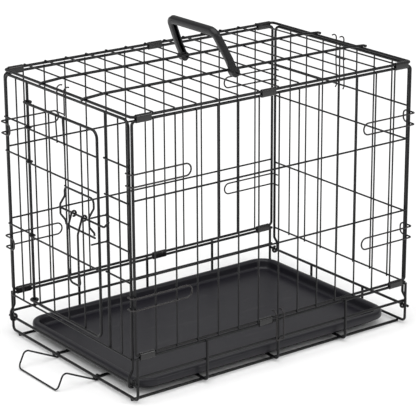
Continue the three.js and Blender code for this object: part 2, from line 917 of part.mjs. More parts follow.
function gripShape(width, depth) {
  const halfWidth = width / 2;
  const halfDepth = depth / 2;
  const chamfer = gripChamfer;
  return new THREE.Shape([
    new THREE.Vector2(-halfWidth, -halfDepth + chamfer),
    new THREE.Vector2(-halfWidth + chamfer, -halfDepth),
    new THREE.Vector2(halfWidth - chamfer, -halfDepth),
    new THREE.Vector2(halfWidth, -halfDepth + chamfer),
    new THREE.Vector2(halfWidth, halfDepth - chamfer),
    new THREE.Vector2(halfWidth - chamfer, halfDepth),
    new THREE.Vector2(-halfWidth + chamfer, halfDepth),
    new THREE.Vector2(-halfWidth, halfDepth - chamfer),
  ]);
}

// The hollow along the inner side of the grip bar.
function gripChannel(at) {
  const length = 2 * (carryNeckY - carryBend);
  const geometry = block(length, carryWidth - 2 * carryWall, carryDepth - carryWall);
  geometry.rotateY(-carryLean);
  const middle = at(0, carryRise - carryWall);
  geometry.translate(middle.x, middle.y, middle.z);
  return toSolid(geometry);
}

// One foot: a rounded sole round the cross wire with a short barb on its door-end side.
function foot(y, at) {
  const sole = new THREE.CylinderGeometry(footSole, footSole, carryDepth, 12);
  sole.translate(0, y, topMeshZ);
  const barb = new THREE.ConeGeometry(barbHeight, barbReach * 2, 4);
  barb.rotateZ(quarterTurn);
  barb.translate(-footSole, y, topMeshZ + barbHeight);
  return toSolid(sole).add(toSolid(barb));
}

function footBore(y) {
  const radius = (corner(meshRadius) + gap) / Math.cos(Math.PI / footHoleSides);
  const bore = new THREE.CylinderGeometry(radius, radius, carryDepth * 2, footHoleSides);
  bore.translate(0, y, topMeshZ);
  return toSolid(bore);
}

// ---------------------------------------------------------------- assembly
function addBase(add) {
  floorBarYs.forEach((y, index) => add(`floor_bar_${index + 1}`, floorBar(y), coated));
  crossWireXs.forEach((x, index) => add(`cross_wire_${index + 1}`, crossWire(x), coated));
  add('base_front_skirt', baseSkirt(-1), coated);
  add('base_back_skirt', baseSkirt(1), coated);
  add('base_door_end_wire', foldWire(-1), coated);
  add('base_far_end_wire', farFoldWire(), coated);
}

function addWalls(add) {
  add('front_wall', longWall(-1), coated);
  add('back_wall', longWall(1), coated);
  for (const [sideName, side] of [['front', -1], ['back', 1]]) {
    for (const [endName, end] of [['door_end', -1], ['far_end', 1]]) {
      const makeClip = end === side ? openClip : closedClip;
      add(`${sideName}_${endName}_upper_clip`, makeClip(end, side, clipUpperHeight), clipped);
      add(`${sideName}_${endName}_lower_clip`, makeClip(end, side, clipLowerHeight), clipped);
    }
  }
}

function addSleeves(add) {
  for (const [sideName, side] of [['front', -1], ['back', 1]]) {
    const upperMiddle = side * sleeveMiddleX;
    const lowerMiddle = side * sleeveLowerMiddleX;
    const places = [
      ['upper_door_end', -sleeveCornerX, wallTopZ],
      ['upper_middle', upperMiddle, wallTopZ],
      ['upper_far_end', sleeveCornerX, wallTopZ],
      ['lower_door_end', -sleeveCornerX, baseTopHeight],
      ['lower_middle', lowerMiddle, baseTopHeight],
      ['lower_far_end', sleeveCornerX, baseTopHeight],
    ];
    for (const [placeName, x, lowerZ] of places) {
      add(`${sideName}_${placeName}_sleeve`, sleeve(x, side, lowerZ), sleeved);
    }
  }
}

function addEnds(add) {
  add('door_end_left_strip', hingeStrip(), coated);
  add('door_end_right_strip', latchStrip(), coated);
  add('door_end_top_rail', doorwayTopRail(), coated);
  add('door_end_bottom_rail', doorwayBottomRail(), coated);
  add('bolt_keeper_upper', boltKeeper(keeperHeights[0]), coatedDark);
  add('bolt_keeper_lower', boltKeeper(keeperHeights[1]), coatedDark);
  add('far_end_panel', farEndPanel(), coated);
}

function addDoor(add) {
  add('door', door(), coated);
  add('latch_bracket', latchBracket(), coatedDark);
  add('latch_bolt', latchBolt(), coatedDark);
  add('latch_handle', latchHandle(), coatedDark);
}

function addFittings(add) {
  add('top_catch_door_end', nearTopCatch(), clipped);
  add('top_catch_far_end', farTopCatch(), clipped);
  add('base_catch', baseCatch(), clipped);
  add('pan', pan(), panned);
  add('pan_stop', panStop(), coatedDark);
  add('carry_handle', carryHandle(), gripped);
}

function makeCrate() {
  const crate = new THREE.Group();
  crate.name = 'wire_dog_crate';
  const add = (name, solid, finish) => crate.add(piece(name, solid, finish));
  addBase(add);
  addWalls(add);
  addSleeves(add);
  add('top_panel', topPanel(), coated);
  addEnds(add);
  addDoor(add);
  addFittings(add);
  return crate;
}

// The middle of the footprint goes to the origin, with the floor at zero height.
function centred(group) {
  const bounds = new THREE.Box3().setFromObject(group);
  const middle = bounds.getCenter(new THREE.Vector3());
  for (const mesh of group.children) {
    mesh.geometry.translate(-middle.x, -middle.y, -bounds.min.z);
  }
  return group;
}

export default centred(makeCrate());
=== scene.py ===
"""Folding wire dog crate: round coated wirework, pressed sleeves, a moulded tray and a grip."""
import logging
import math
from collections.abc import Callable, Iterable, Sequence
from dataclasses import dataclass, field
from enum import Enum

import bmesh
import bpy
from mathutils import Matrix, Vector


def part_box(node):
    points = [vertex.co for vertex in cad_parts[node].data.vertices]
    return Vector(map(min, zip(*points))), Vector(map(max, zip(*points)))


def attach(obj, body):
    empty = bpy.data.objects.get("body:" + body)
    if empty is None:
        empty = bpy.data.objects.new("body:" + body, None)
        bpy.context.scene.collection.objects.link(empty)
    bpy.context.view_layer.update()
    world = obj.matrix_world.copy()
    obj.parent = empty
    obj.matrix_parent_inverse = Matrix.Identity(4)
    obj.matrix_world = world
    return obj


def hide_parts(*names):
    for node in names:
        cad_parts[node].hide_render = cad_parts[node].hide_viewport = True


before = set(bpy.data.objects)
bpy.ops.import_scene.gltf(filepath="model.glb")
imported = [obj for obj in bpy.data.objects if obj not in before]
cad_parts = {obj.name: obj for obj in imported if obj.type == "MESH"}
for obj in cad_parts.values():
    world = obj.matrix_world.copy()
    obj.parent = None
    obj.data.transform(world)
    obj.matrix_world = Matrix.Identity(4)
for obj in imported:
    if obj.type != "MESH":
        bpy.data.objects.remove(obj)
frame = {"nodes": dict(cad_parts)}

LOG = logging.getLogger("wire_crate")
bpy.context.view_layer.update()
MM = 0.001
QUARTER = math.pi / 2
COAT_BUILD_UP = 1.05
SEAM = 0.01  # keeps the two ends of a closed ring apart


# --------------------------------------------------------------------------- shader tools
class Socket:
    """A shader value that takes part in Python arithmetic."""

    def __init__(self, tree: "ShaderTree", link: bpy.types.NodeSocket) -> None:
        """Wraps one output socket of a tree."""
        self.tree = tree
        self.link = link

    def _math(self, operation: str, first: "Socket | float", second: "Socket | float") -> "Socket":
        """Adds one Math node.

        Args:
            operation: The Math node's operation.
            first: The left value.
            second: The right value.

        Returns:
            The node's value.
        """
        node = self.tree.node("ShaderNodeMath", {"operation": operation}, {0: first, 1: second})
        return Socket(self.tree, node.outputs[0])

    def __add__(self, other: "Socket | float") -> "Socket":
        """The sum."""
        return self._math("ADD", self, other)

    def __radd__(self, other: float) -> "Socket":
        """The sum, with the number on the left."""
        return self._math("ADD", other, self)

    def __sub__(self, other: "Socket | float") -> "Socket":
        """The difference."""
        return self._math("SUBTRACT", self, other)

    def __rsub__(self, other: float) -> "Socket":
        """The difference, with the number on the left."""
        return self._math("SUBTRACT", other, self)

    def __mul__(self, other: "Socket | float") -> "Socket":
        """The product."""
        return self._math("MULTIPLY", self, other)

    def __rmul__(self, other: float) -> "Socket":
        """The product, with the number on the left."""
        return self._math("MULTIPLY", other, self)


class ShaderTree:
    """A material with one Principled shader and a short way to add nodes."""

    def __init__(self, name: str) -> None:
        """Starts an empty material.

        Args:
            name: The material's name.
        """
        self.material = bpy.data.materials.new(name)
        self.material.use_nodes = True
        self.nodes = self.material.node_tree.nodes
        self.shader = self.nodes["Principled BSDF"]

    def node(self, kind: str, settings: dict | None = None,
             sockets: dict | None = None) -> bpy.types.Node:
        """Adds a node.

        Args:
            kind: The node's type.
            settings: Attributes set before its sockets.
            sockets: Values or links of its inputs, by name or number.

        Returns:
            The new node.
        """
        made = self.nodes.new(kind)
        for key, value in (settings or {}).items():
            setattr(made, key, value)
        for key, value in (sockets or {}).items():
            self.feed(made.inputs[key], value)
        return made

    def feed(self, target: bpy.types.NodeSocket, value: object) -> None:
        """Sets an input to a value or links it.

        Args:
            target: The input socket.
            value: A Socket, an output socket or a plain value.
        """
        source = value.link if isinstance(value, Socket) else value
        if isinstance(source, bpy.types.NodeSocket):
            self.material.node_tree.links.new(source, target)
        else:
            target.default_value = source

    def noise(self, scale: float, detail: float = 3.0, stretch: tuple | None = None) -> Socket:
        """A noise value from 0 to 1.

        Args:
            scale: Cells per metre.
            detail: The noise's octaves.
            stretch: Optional scale along each axis.

        Returns:
            The noise value.
        """
        where = self.node("ShaderNodeTexCoord").outputs["Object"]
        if stretch:
            mapping = self.node("ShaderNodeMapping", {}, {"Vector": where, "Scale": stretch})
            where = mapping.outputs[0]
        sockets = {"Vector": where, "Scale": scale, "Detail": detail}
        return Socket(self, self.node("ShaderNodeTexNoise", {}, sockets).outputs["Fac"])

    def band(self, value: Socket, low: float, high: float) -> Socket:
        """A smooth step between two levels.

        Args:
            value: The value that is graded.
            low: Where the step starts.
            high: Where the step ends.

        Returns:
            A value from 0 to 1.
        """
        made = self.node("ShaderNodeMapRange", {"interpolation_type": "SMOOTHSTEP"},
                         {"Value": value, "From Min": low, "From Max": high})
        return Socket(self, made.outputs["Result"])

    def blend(self, factor: Socket, first: tuple | Socket, second: tuple | Socket) -> Socket:
        """Mixes two colours.

        Args:
            factor: How much of the second shows.
            first: The colour at 0.
            second: The colour at 1.

        Returns:
            The mixed colour.
        """
        made = self.node("ShaderNodeMix", {"data_type": "RGBA"}, {0: factor, 6: first, 7: second})
        return Socket(self, made.outputs[2])

    def upward(self) -> Socket:
        """How far the surface looks up, from -1 to 1."""
        normal = self.node("ShaderNodeNewGeometry").outputs["Normal"]
        return Socket(self, self.node("ShaderNodeSeparateXYZ", {}, {0: normal}).outputs["Z"])

    def bump(self, height: Socket, distance: float, strength: float) -> None:
        """Feeds a height into the shader's normal.

        Args:
            height: The height value.
            distance: The height of a full step, in metres.
            strength: The effect's strength.
        """
        made = self.node("ShaderNodeBump", {},
                         {"Height": height, "Distance": distance, "Strength": strength})
        self.feed(self.shader.inputs["Normal"], made.outputs["Normal"])


@dataclass(frozen=True)
class CoatedWire:
    """A dipped black coat on steel wire, with a fine orange peel, scuffs and a trace of dust."""

    name: str
    colour: tuple = (0.0035, 0.0035, 0.0042, 1.0)
    worn: tuple = (0.016, 0.0155, 0.0165, 1.0)
    dust: tuple = (0.045, 0.044, 0.043, 1.0)
    roughness: float = 0.34
    metallic: float = 0.0
    coat: float = 0.08
    gloss: float = 0.24
    dust_amount: float = 0.14
    cloud_scale: float = 22.0
    grain_scale: float = 420.0
    scuff_scale: float = 130.0
    coat_roughness: float = 0.22
    peel_height: float = 0.00012
    peel_strength: float = 0.28

    def build(self) -> bpy.types.Material:
        """Makes the material.

        Returns:
            The material.
        """
        tree = ShaderTree(self.name)
        cloud = tree.noise(self.cloud_scale, 4.0)
        grain = tree.noise(self.grain_scale, 2.0)
        scuff = tree.band(tree.noise(self.scuff_scale, 5.0, (1.0, 1.0, 0.6)), 0.60, 0.74)
        settled = tree.band(tree.upward(), 0.35, 1.0) * tree.band(cloud, 0.35, 0.75)
        base = tree.blend(scuff * 0.55, self.colour, self.worn)
        tree.feed(tree.shader.inputs["Base Color"],
                  tree.blend(settled * self.dust_amount, base, self.dust))
        rough = self.roughness + (cloud - 0.5) * 0.14 + scuff * 0.08 + settled * 0.05
        tree.feed(tree.shader.inputs["Roughness"], rough)
        tree.shader.inputs["Metallic"].default_value = self.metallic
        tree.shader.inputs["Coat Weight"].default_value = self.coat
        tree.shader.inputs["Coat Roughness"].default_value = self.coat_roughness
        tree.shader.inputs["Specular IOR Level"].default_value = self.gloss
        tree.bump(grain + cloud * 0.6, self.peel_height, self.peel_strength)
        return tree.material


@dataclass(frozen=True)
class MouldedPlastic:
    """Satin moulded plastic with a spark-eroded grain and faint rub marks."""

    name: str
    colour: tuple
    rubbed: tuple
    roughness: float
    grain_size: float
    grain_depth: float
    gloss: float
    cloud_scale: float = 9.0
    mark_scale: float = 60.0
    grain_strength: float = 0.35

    def build(self) -> bpy.types.Material:
        """Makes the material.

        Returns:
            The material.
        """
        tree = ShaderTree(self.name)
        grain = tree.noise(self.grain_size, 2.0)
        cloud = tree.noise(self.cloud_scale, 5.0)
        marks = tree.band(tree.noise(self.mark_scale, 4.0, (0.25, 1.0, 1.0)), 0.58, 0.72)
        tree.feed(tree.shader.inputs["Base Color"],
                  tree.blend(marks * 0.35 + (cloud - 0.5) * 0.5, self.colour, self.rubbed))
        rough = self.roughness + (cloud - 0.5) * 0.12 - marks * 0.05 + (grain - 0.5) * 0.06
        tree.feed(tree.shader.inputs["Roughness"], rough)
        tree.shader.inputs["Specular IOR Level"].default_value = self.gloss
        tree.bump(grain, self.grain_depth, self.grain_strength)
        return tree.material


@dataclass(frozen=True)
class PaleBoard:
    """The plain pale floor."""

    name: str = "pale_floor"
    colour: tuple = (0.86, 0.86, 0.86, 1.0)

    def build(self) -> bpy.types.Material:
        """Makes the material.

        Returns:
            The material.
        """
        tree = ShaderTree(self.name)
        tree.shader.inputs["Base Color"].default_value = self.colour
        tree.shader.inputs["Roughness"].default_value = 0.9
        return tree.material


class Finish(Enum):
    """The finishes of the crate, each with the record's slot that it belongs to."""

    WIRE = ("frame_wire", CoatedWire("black_wire_coat"))
    LATCH = ("latch_wire",
             CoatedWire("latch_wire_coat", roughness=0.28, coat=0.2, dust_amount=0.06))
    # The clip coat's brownish tint, in its colour and in its worn colour, is a painted reflection:
    # the brown sheen the clips show is put into the coat's colour, over the coat's own near-black.
    CLIP = ("clip_wire", CoatedWire("clip_wire_coat", (0.0075, 0.0055, 0.0058, 1.0),
                                    (0.045, 0.036, 0.034, 1.0), roughness=0.26, metallic=0.1,
                                    gloss=0.45))
    SLEEVE = ("sleeve", CoatedWire("pressed_sleeve_coat", (0.004, 0.0037, 0.004, 1.0),
                                   (0.03, 0.026, 0.024, 1.0), roughness=0.24, metallic=0.05,
                                   coat=0.25, gloss=0.4, dust_amount=0.05))
    TRAY = ("pan", MouldedPlastic("tray_plastic", (0.0085, 0.008, 0.0115, 1.0),
                                  (0.015, 0.0142, 0.018, 1.0), 0.36, 900.0, 0.00008, 0.3))
    GRIP = ("handle", MouldedPlastic("grip_plastic", (0.004, 0.004, 0.0048, 1.0),
                                     (0.012, 0.012, 0.013, 1.0), 0.34, 1100.0, 0.0001, 0.35))

    @property
    def slot(self) -> str:
        """The record's material slot."""
        return self.value[0]

    def material(self) -> bpy.types.Material:
        """The material, made once."""
        recipe = self.value[1]
        return bpy.data.materials.get(recipe.name) or recipe.build()


# --------------------------------------------------------------------------- paths
@dataclass(frozen=True)
class Datum:
    """Turns the crate's own millimetre places, centred on the base, into the shared frame."""

    x: float
    y: float

    @classmethod
    def from_frame(cls) -> "Datum":
        """Reads the base's middle from the middle cross wire."""
        low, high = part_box("cross_wire_3")
        return cls((low[0] + high[0]) / 2, (low[1] + high[1]) / 2)

    def place(self, spot: Vector) -> Vector:
        """One place in metres in the shared frame."""
        return Vector((spot.x * MM + self.x, spot.y * MM + self.y, spot.z * MM))


DATUM = Datum.from_frame()
Path = list[Vector]


def at(x: float, y: float, z: float) -> Vector:
    """A place in the crate's own millimetres."""
    return Vector((x, y, z))


def arc(centre: Vector, first: Vector, second: Vector, sweep: float, step: float = 8.0) -> Path:
    """Points of an arc.

    Args:
        centre: The arc's centre.
        first: The arm to its start.
        second: The arm square to the first that it turns towards.
        sweep: How far it turns, in radians.
        step: The turn between points, in degrees.

    Returns:
        The points.
    """
    count = max(2, round(abs(math.degrees(sweep)) / step))
    angles = [sweep * index / count for index in range(count + 1)]
    return [centre + first * math.cos(angle) + second * math.sin(angle) for angle in angles]


def bent(corners: Sequence[Vector], radii: float | Sequence[float], step: float = 8.0) -> Path:
    """A polyline whose inner corners are bent.

    Args:
        corners: The corners.
        radii: One radius, or one for each inner corner.
        step: The turn between points, in degrees.

    Returns:
        The points.
    """
    path = [corners[0].copy()]
    for index in range(1, len(corners) - 1):
        radius = radii if isinstance(radii, (int, float)) else radii[index - 1]
        into = (corners[index] - corners[index - 1]).normalized()
        away = (corners[index + 1] - corners[index]).normalized()
        turn = into.angle(away)
        if turn < 1e-4:
            continue
        start = corners[index] - into * radius * math.tan(turn / 2)
        side = (away - into * away.dot(into)).normalized()
        path += arc(start + side * radius, side * -radius, into * radius, turn, step)
    path.append(corners[-1].copy())
    return path


def spread(count: int, spacing: float) -> list[float]:
    """Evenly spaced places, centred on zero."""
    return [(index - (count - 1) / 2) * spacing for index in range(count)]


@dataclass
class WireSet:
    """The wires and weld beads of one piece."""

    wires: list[tuple[Path, float]] = field(default_factory=list)
    beads: list[tuple[Vector, float]] = field(default_factory=list)

    def wire(self, path: Iterable[Vector], radius: float) -> None:
        """Adds one wire along points in millimetres."""
        self.wires.append((list(path), radius))

    def bar(self, start: Vector, end: Vector, radius: float) -> None:
        """Adds one straight wire."""
        self.wires.append(([start, end], radius))

    def bead(self, place: Vector, radius: float) -> None:
        """Adds one weld bead."""
        self.beads.append((place, radius))


class GeometryTree:
    """A geometry node tree with named inputs and a short way to add and link nodes."""

    def __init__(self, name: str, inputs: dict[str, str]) -> None:
        """Starts the tree.

        Args:
            name: The tree's name.
            inputs: The kind of each input beside Geometry, by name.
        """
        self.group = bpy.data.node_groups.new(name, "GeometryNodeTree")
        face = self.group.interface
        for label, kind in {"Geometry": "Geometry", **inputs}.items():
            face.new_socket(label, in_out="INPUT", socket_type=f"NodeSocket{kind}")
        face.new_socket("Geometry", in_out="OUTPUT", socket_type="NodeSocketGeometry")
        self.given, self.result = self.add("NodeGroupInput"), self.add("NodeGroupOutput")

    def add(self, kind: str, values: dict | None = None, **settings: object) -> bpy.types.Node:
        """Adds a node.

        Args:
            kind: The node's type.
            values: Values of its inputs, by name.
            settings: Its attributes.

        Returns:
            The node.
        """
        made = self.group.nodes.new(kind)
        for key, value in settings.items():
            setattr(made, key, value)
        for key, value in (values or {}).items():
            made.inputs[key].default_value = value
        return made

    def link(self, *table: tuple) -> None:
        """Links rows of node, output, node and input."""
        for source, output, target, entry in table:
            self.group.links.new(source.outputs[output], target.inputs[entry])


def wirework_tree() -> bpy.types.NodeTree:
    """The tree, made once, that turns edges into round wires and loose points into beads.

    Returns:
        The tree.
    """
    found = bpy.data.node_groups.get("wirework")
    if found:
        return found
    tree = GeometryTree("wirework", {"Sides": "Int", "Crease": "Float", "Finish": "Material"})
    given, add = tree.given, tree.add
    radius = add("GeometryNodeInputNamedAttribute", {"Name": "gauge"}, data_type="FLOAT")
    is_bead = add("GeometryNodeInputNamedAttribute", {"Name": "bead"}, data_type="BOOLEAN")
    to_curve = add("GeometryNodeMeshToCurve")
    set_radius = add("GeometryNodeSetCurveRadius")
    profile = add("GeometryNodeCurvePrimitiveCircle", {"Radius": 1.0}, mode="RADIUS")
    sweep = add("GeometryNodeCurveToMesh", {"Fill Caps": True})
    ball = add("GeometryNodeMeshIcoSphere", {"Radius": 1.0, "Subdivisions": 2})
    beads = add("GeometryNodeInstanceOnPoints")
    both = add("GeometryNodeJoinGeometry")
    real = add("GeometryNodeRealizeInstances")
    smooth = add("GeometryNodeSetShadeSmooth")
    angle = add("GeometryNodeInputMeshEdgeAngle")
    sharp = add("FunctionNodeCompare", data_type="FLOAT", operation="GREATER_THAN")
    crease = add("GeometryNodeSetShadeSmooth", {"Shade Smooth": False}, domain="EDGE")
    paint = add("GeometryNodeSetMaterial")
    tree.link((given, "Geometry", to_curve, "Mesh"), (to_curve, "Curve", set_radius, "Curve"),
              (radius, "Attribute", set_radius, "Radius"), (given, "Sides", profile, "Resolution"),
              (set_radius, "Curve", sweep, "Curve"), (profile, "Curve", sweep, "Profile Curve"))
    if "Scale" in sweep.inputs:
        tree.link((radius, "Attribute", sweep, "Scale"))
    tree.link((given, "Geometry", beads, "Points"), (is_bead, "Attribute", beads, "Selection"),
              (ball, "Mesh", beads, "Instance"), (radius, "Attribute", beads, "Scale"),
              (sweep, "Mesh", both, "Geometry"), (beads, "Instances", both, "Geometry"),
              (both, "Geometry", real, "Geometry"), (real, "Geometry", smooth, "Geometry"),
              (angle, "Unsigned Angle", sharp, 0), (given, "Crease", sharp, 1),
              (smooth, "Geometry", crease, "Geometry"), (sharp, "Result", crease, "Selection"),
              (crease, "Geometry", paint, "Geometry"), (given, "Finish", paint, "Material"),
              (paint, "Geometry", tree.result, "Geometry"))
    return tree.group


def link_object(name: str, data: bpy.types.ID) -> bpy.types.Object:
    """Makes an object and links it to the scene.

    Args:
        name: The object's name.
        data: Its mesh, light or camera.

    Returns:
        The object.
    """
    made = bpy.data.objects.new(name, data)
    bpy.context.collection.objects.link(made)
    return made


def bridge(shape: bmesh.types.BMesh, rows: Sequence[list[bmesh.types.BMVert]]) -> None:
    """Joins each ring of vertices to the next with quads.

    Args:
        shape: The mesh they belong to.
        rows: The rings, all of one count.
    """
    for first, second in zip(rows, rows[1:]):
        for index, vertex in enumerate(first):
            after = (index + 1) % len(first)
            shape.faces.new((vertex, first[after], second[after], second[index]))


def skin_object(name: str, shape: bmesh.types.BMesh) -> bpy.types.Object:
    """Turns a closed skin into a linked object and frees it.

    Args:
        name: The object's name.
        shape: The skin.

    Returns:
        The object.
    """
    bmesh.ops.recalc_face_normals(shape, faces=shape.faces)
    mesh = bpy.data.meshes.new(name)
    shape.to_mesh(mesh)
    shape.free()
    return link_object(name, mesh)


def smooth_below(mesh: bpy.types.Mesh, degrees: float) -> None:
    """Shades a mesh smooth, apart from edges that turn more than an angle."""
    mesh.shade_smooth()
    mesh.set_sharp_from_angle(angle=math.radians(degrees))


def run_nodes(name: str, source: bpy.types.Object, tree: bpy.types.NodeTree,
              values: dict[str, object]) -> bpy.types.Object:
    """Runs a node tree on an object and keeps the result as a plain mesh.

    Args:
        name: The finished piece's name.
        source: The object that carries the tree.
        tree: The tree.
        values: Its inputs by name.

    Returns:
        The finished piece.
    """
    modifier = source.modifiers.new("nodes", "NODES")
    modifier.node_group = tree
    for item in tree.interface.items_tree:
        if item.item_type == "SOCKET" and item.in_out == "INPUT" and item.name in values:
            modifier[item.identifier] = values[item.name]
    bpy.context.view_layer.update()
    graph = bpy.context.evaluated_depsgraph_get()
    mesh = bpy.data.meshes.new_from_object(source.evaluated_get(graph), depsgraph=graph)
    mesh.name = name
    for attribute in ("gauge", "bead"):
        found = mesh.attributes.get(attribute)
        if found:
            mesh.attributes.remove(found)
    piece = link_object(name, mesh)
    bpy.data.objects.remove(source, do_unlink=True)
    return piece


def make_wires(name: str, work: WireSet, finish: Finish, body: str, nodes: Iterable[str],
               sides: int = 14) -> None:
    """Args:
        name: The piece's name.
        work: Its wires and beads.
        finish: Its finish.
        body: The body it rides on.
        nodes: The CAD nodes it stands for.
        sides: The sides of each wire.
    """
    places: list[Vector] = []
    edges: list[tuple[int, int]] = []
    gauge: list[float] = []
    bead: list[bool] = []
    build_up = COAT_BUILD_UP if finish is Finish.WIRE else 1.0
    for path, radius in work.wires:
        start = len(places)
        places += [DATUM.place(spot) for spot in path]
        edges += [(start + index, start + index + 1) for index in range(len(path) - 1)]
        gauge += [radius * MM * build_up] * len(path)
        bead += [False] * len(path)
    for spot, radius in work.beads:
        places.append(DATUM.place(spot))
        gauge.append(radius * MM)
        bead.append(True)
    mesh = bpy.data.meshes.new(name + "_lines")
    mesh.from_pydata(places, edges, [])
    mesh.attributes.new("gauge", "FLOAT", "POINT").data.foreach_set("value", gauge)
    mesh.attributes.new("bead", "BOOLEAN", "POINT").data.foreach_set("value", bead)
    source = link_object(name + "_lines", mesh)
    values = {"Sides": sides, "Crease": 0.9, "Finish": finish.material()}
    settle(run_nodes(name, source, wirework_tree(), values), body, nodes, finish)


def settle(piece: bpy.types.Object, body: str, nodes: Iterable[str], finish: Finish) -> None:
    """Gives a finished piece its finish if it has none, hangs it on its body and hides the CAD
    nodes it stands for.

    Args:
        piece: The piece.
        body: The body it rides on.
        nodes: The CAD nodes it stands for.
        finish: Its finish.
    """
    if not piece.data.materials:
        piece.data.materials.append(finish.material())
    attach(piece, body)
    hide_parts(*nodes)
    LOG.info("%s: %d faces on %s", piece.name, len(piece.data.polygons), body)


def section_factor(sides: int = 6) -> float:
    """How far the flats of an equal-area section lie from its centre, for a unit wire."""
    step = 2 * math.pi / sides
    return math.sqrt(step / math.sin(step)) * math.cos(step / 2)


FLAT = section_factor()


@dataclass
class Gauges:
    """The wire gauges, weld bead radii and fits of the crate, in millimetres."""

    frame: float = 2.4
    rail: float = 1.6
    mesh: float = 1.4
    latch: float = 1.9
    catch: float = 1.3
    gap: float = 0.3
    bite: float = 0.35
    overrun: float = 2.0
    heavy_bead: float = 2.0
    fold_bead: float = 2.1
    stub_bead: float = 1.8
    ring_bead: float = 1.7
    middle_bead: float = 1.6
    keeper_bead: float = 1.5
    rail_bead: float = 1.35

    def weld(self, first: float, second: float) -> float:
        """The spacing of two welded wires."""
        return FLAT * (first + second) - self.bite

    def clear(self, first: float, second: float) -> float:
        """The spacing of two wires that only pass."""
        return FLAT * (first + second) + self.gap


@dataclass
class Layout:
    """The main places of the crate, in millimetres."""

    gauges: Gauges = field(default_factory=Gauges)
    length: float = 612.0
    width: float = 408.0
    height: float = 508.0
    stack: float = 6.8
    base_top: float = 81.0
    base_middle: float = 46.7
    fold_height: float = 36.0
    post_x: float = 306.0
    curl: float = 5.7
    end_top: float = 499.6
    end_rails: tuple[float, ...] = (421.0, 358.0, 219.5)
    end_bottom: float = 81.3
    hinge_y: float = 121.0
    latch_side_y: float = -108.0
    rail_drop: float = 4.0
    tongue_y: float = 4.0
    tongue_spacing: float = 22.0

    def __post_init__(self) -> None:
        """Works out the places that follow from the sizes."""
        g = self.gauges
        self.end_x = self.length / 2 - g.frame
        self.upstand_y = self.width / 2
        self.wall_y = self.upstand_y - g.weld(g.frame, g.frame)
        self.wall_mesh_y = self.wall_y + g.weld(g.frame, g.mesh)
        self.wall_rail_y = self.wall_mesh_y - g.weld(g.rail, g.mesh)
        self.clip_y = self.wall_mesh_y + g.clear(g.mesh, g.rail)
        self.top_z = self.height - g.frame
        self.wall_top = self.top_z - self.stack
        self.wall_bottom = self.base_top + self.stack
        self.top_mesh_z = self.top_z + g.weld(g.frame, g.mesh)
        self.top_middle_z = self.top_mesh_z + g.weld(g.frame, g.mesh)
        self.floor_z = FLAT * g.frame
        self.cross_z = self.floor_z + g.clear(g.frame, g.frame)
        self.fold_x = self.end_x + g.clear(g.frame, g.frame)
        self.end_rail_x = self.post_x + g.weld(g.frame, g.rail)
        self.end_mesh_x = self.end_rail_x - g.weld(g.rail, g.mesh)
        self.door_x = self.post_x + self.curl
        self.door_rail_x = self.post_x + 4.85
        self.door_mesh_x = self.door_x - g.weld(g.frame, g.mesh)
        self.keeper_x = self.post_x + g.frame * FLAT / math.cos(math.pi / 6) + FLAT * g.rail + g.gap
        self.bracket_x = self.door_mesh_x + g.clear(g.mesh, g.latch) + g.gap


# --------------------------------------------------------------------------- sub-assemblies
@dataclass
class Base:
    """The standing base: floor bars, cross wires bent up at both sides, skirts and fold wires."""

    plan: Layout
    bar_ys: tuple[float, ...] = (-184.0, -66.0, 66.0, 184.0)
    upstand_spacing: float = 157.0
    bend: float = 8.0
    fold_reach: float = 3.0
    stop_y: float = 77.0
    stop_foot: float = 9.0

    def build(self) -> None:
        p, g, work = self.plan, self.plan.gauges, WireSet()
        columns = [-p.end_x, -self.upstand_spacing, 0.0, self.upstand_spacing, p.end_x]
        for y in self.bar_ys:
            low = g.frame * COAT_BUILD_UP
            work.bar(at(-p.end_x, y, low), at(p.end_x, y, low), g.frame)
            for x in columns:
                work.bead(at(x, y, (p.floor_z + p.cross_z) / 2), g.heavy_bead)
        for x in columns:
            head = p.base_top + g.overrun
            corners = [at(x, -p.upstand_y, head), at(x, -p.upstand_y, p.cross_z),
                       at(x, p.upstand_y, p.cross_z), at(x, p.upstand_y, head)]
            work.wire(bent(corners, self.bend), g.frame)
        for side in (-1, 1):
            for z in (p.base_top, p.base_middle):
                reach = p.end_x + g.overrun
                work.bar(at(-reach, side * p.wall_y, z), at(reach, side * p.wall_y, z), g.frame)
                for x in columns:
                    work.bead(at(x, side * (p.wall_y + p.upstand_y) / 2, z), g.heavy_bead)
        for end in (-1, 1):
            reach = p.upstand_y + self.fold_reach
            x = end * p.fold_x
            work.bar(at(x, -reach, p.fold_height), at(x, reach, p.fold_height), g.frame)
            for y in (-p.upstand_y, p.upstand_y):
                work.bead(at(end * (p.fold_x + p.end_x) / 2, y, p.fold_height), g.fold_bead)
        for y in (-self.stop_y, self.stop_y):
            work.bar(at(p.fold_x, y, self.stop_foot), at(p.fold_x, y, p.fold_height), g.frame)
        nodes = [f"floor_bar_{index}" for index in range(1, 5)]
        nodes += [f"cross_wire_{index}" for index in range(1, 6)]
        nodes += ["base_front_skirt", "base_back_skirt", "base_door_end_wire", "base_far_end_wire"]
        make_wires("base_wires", work, Finish.WIRE, "crate", nodes)


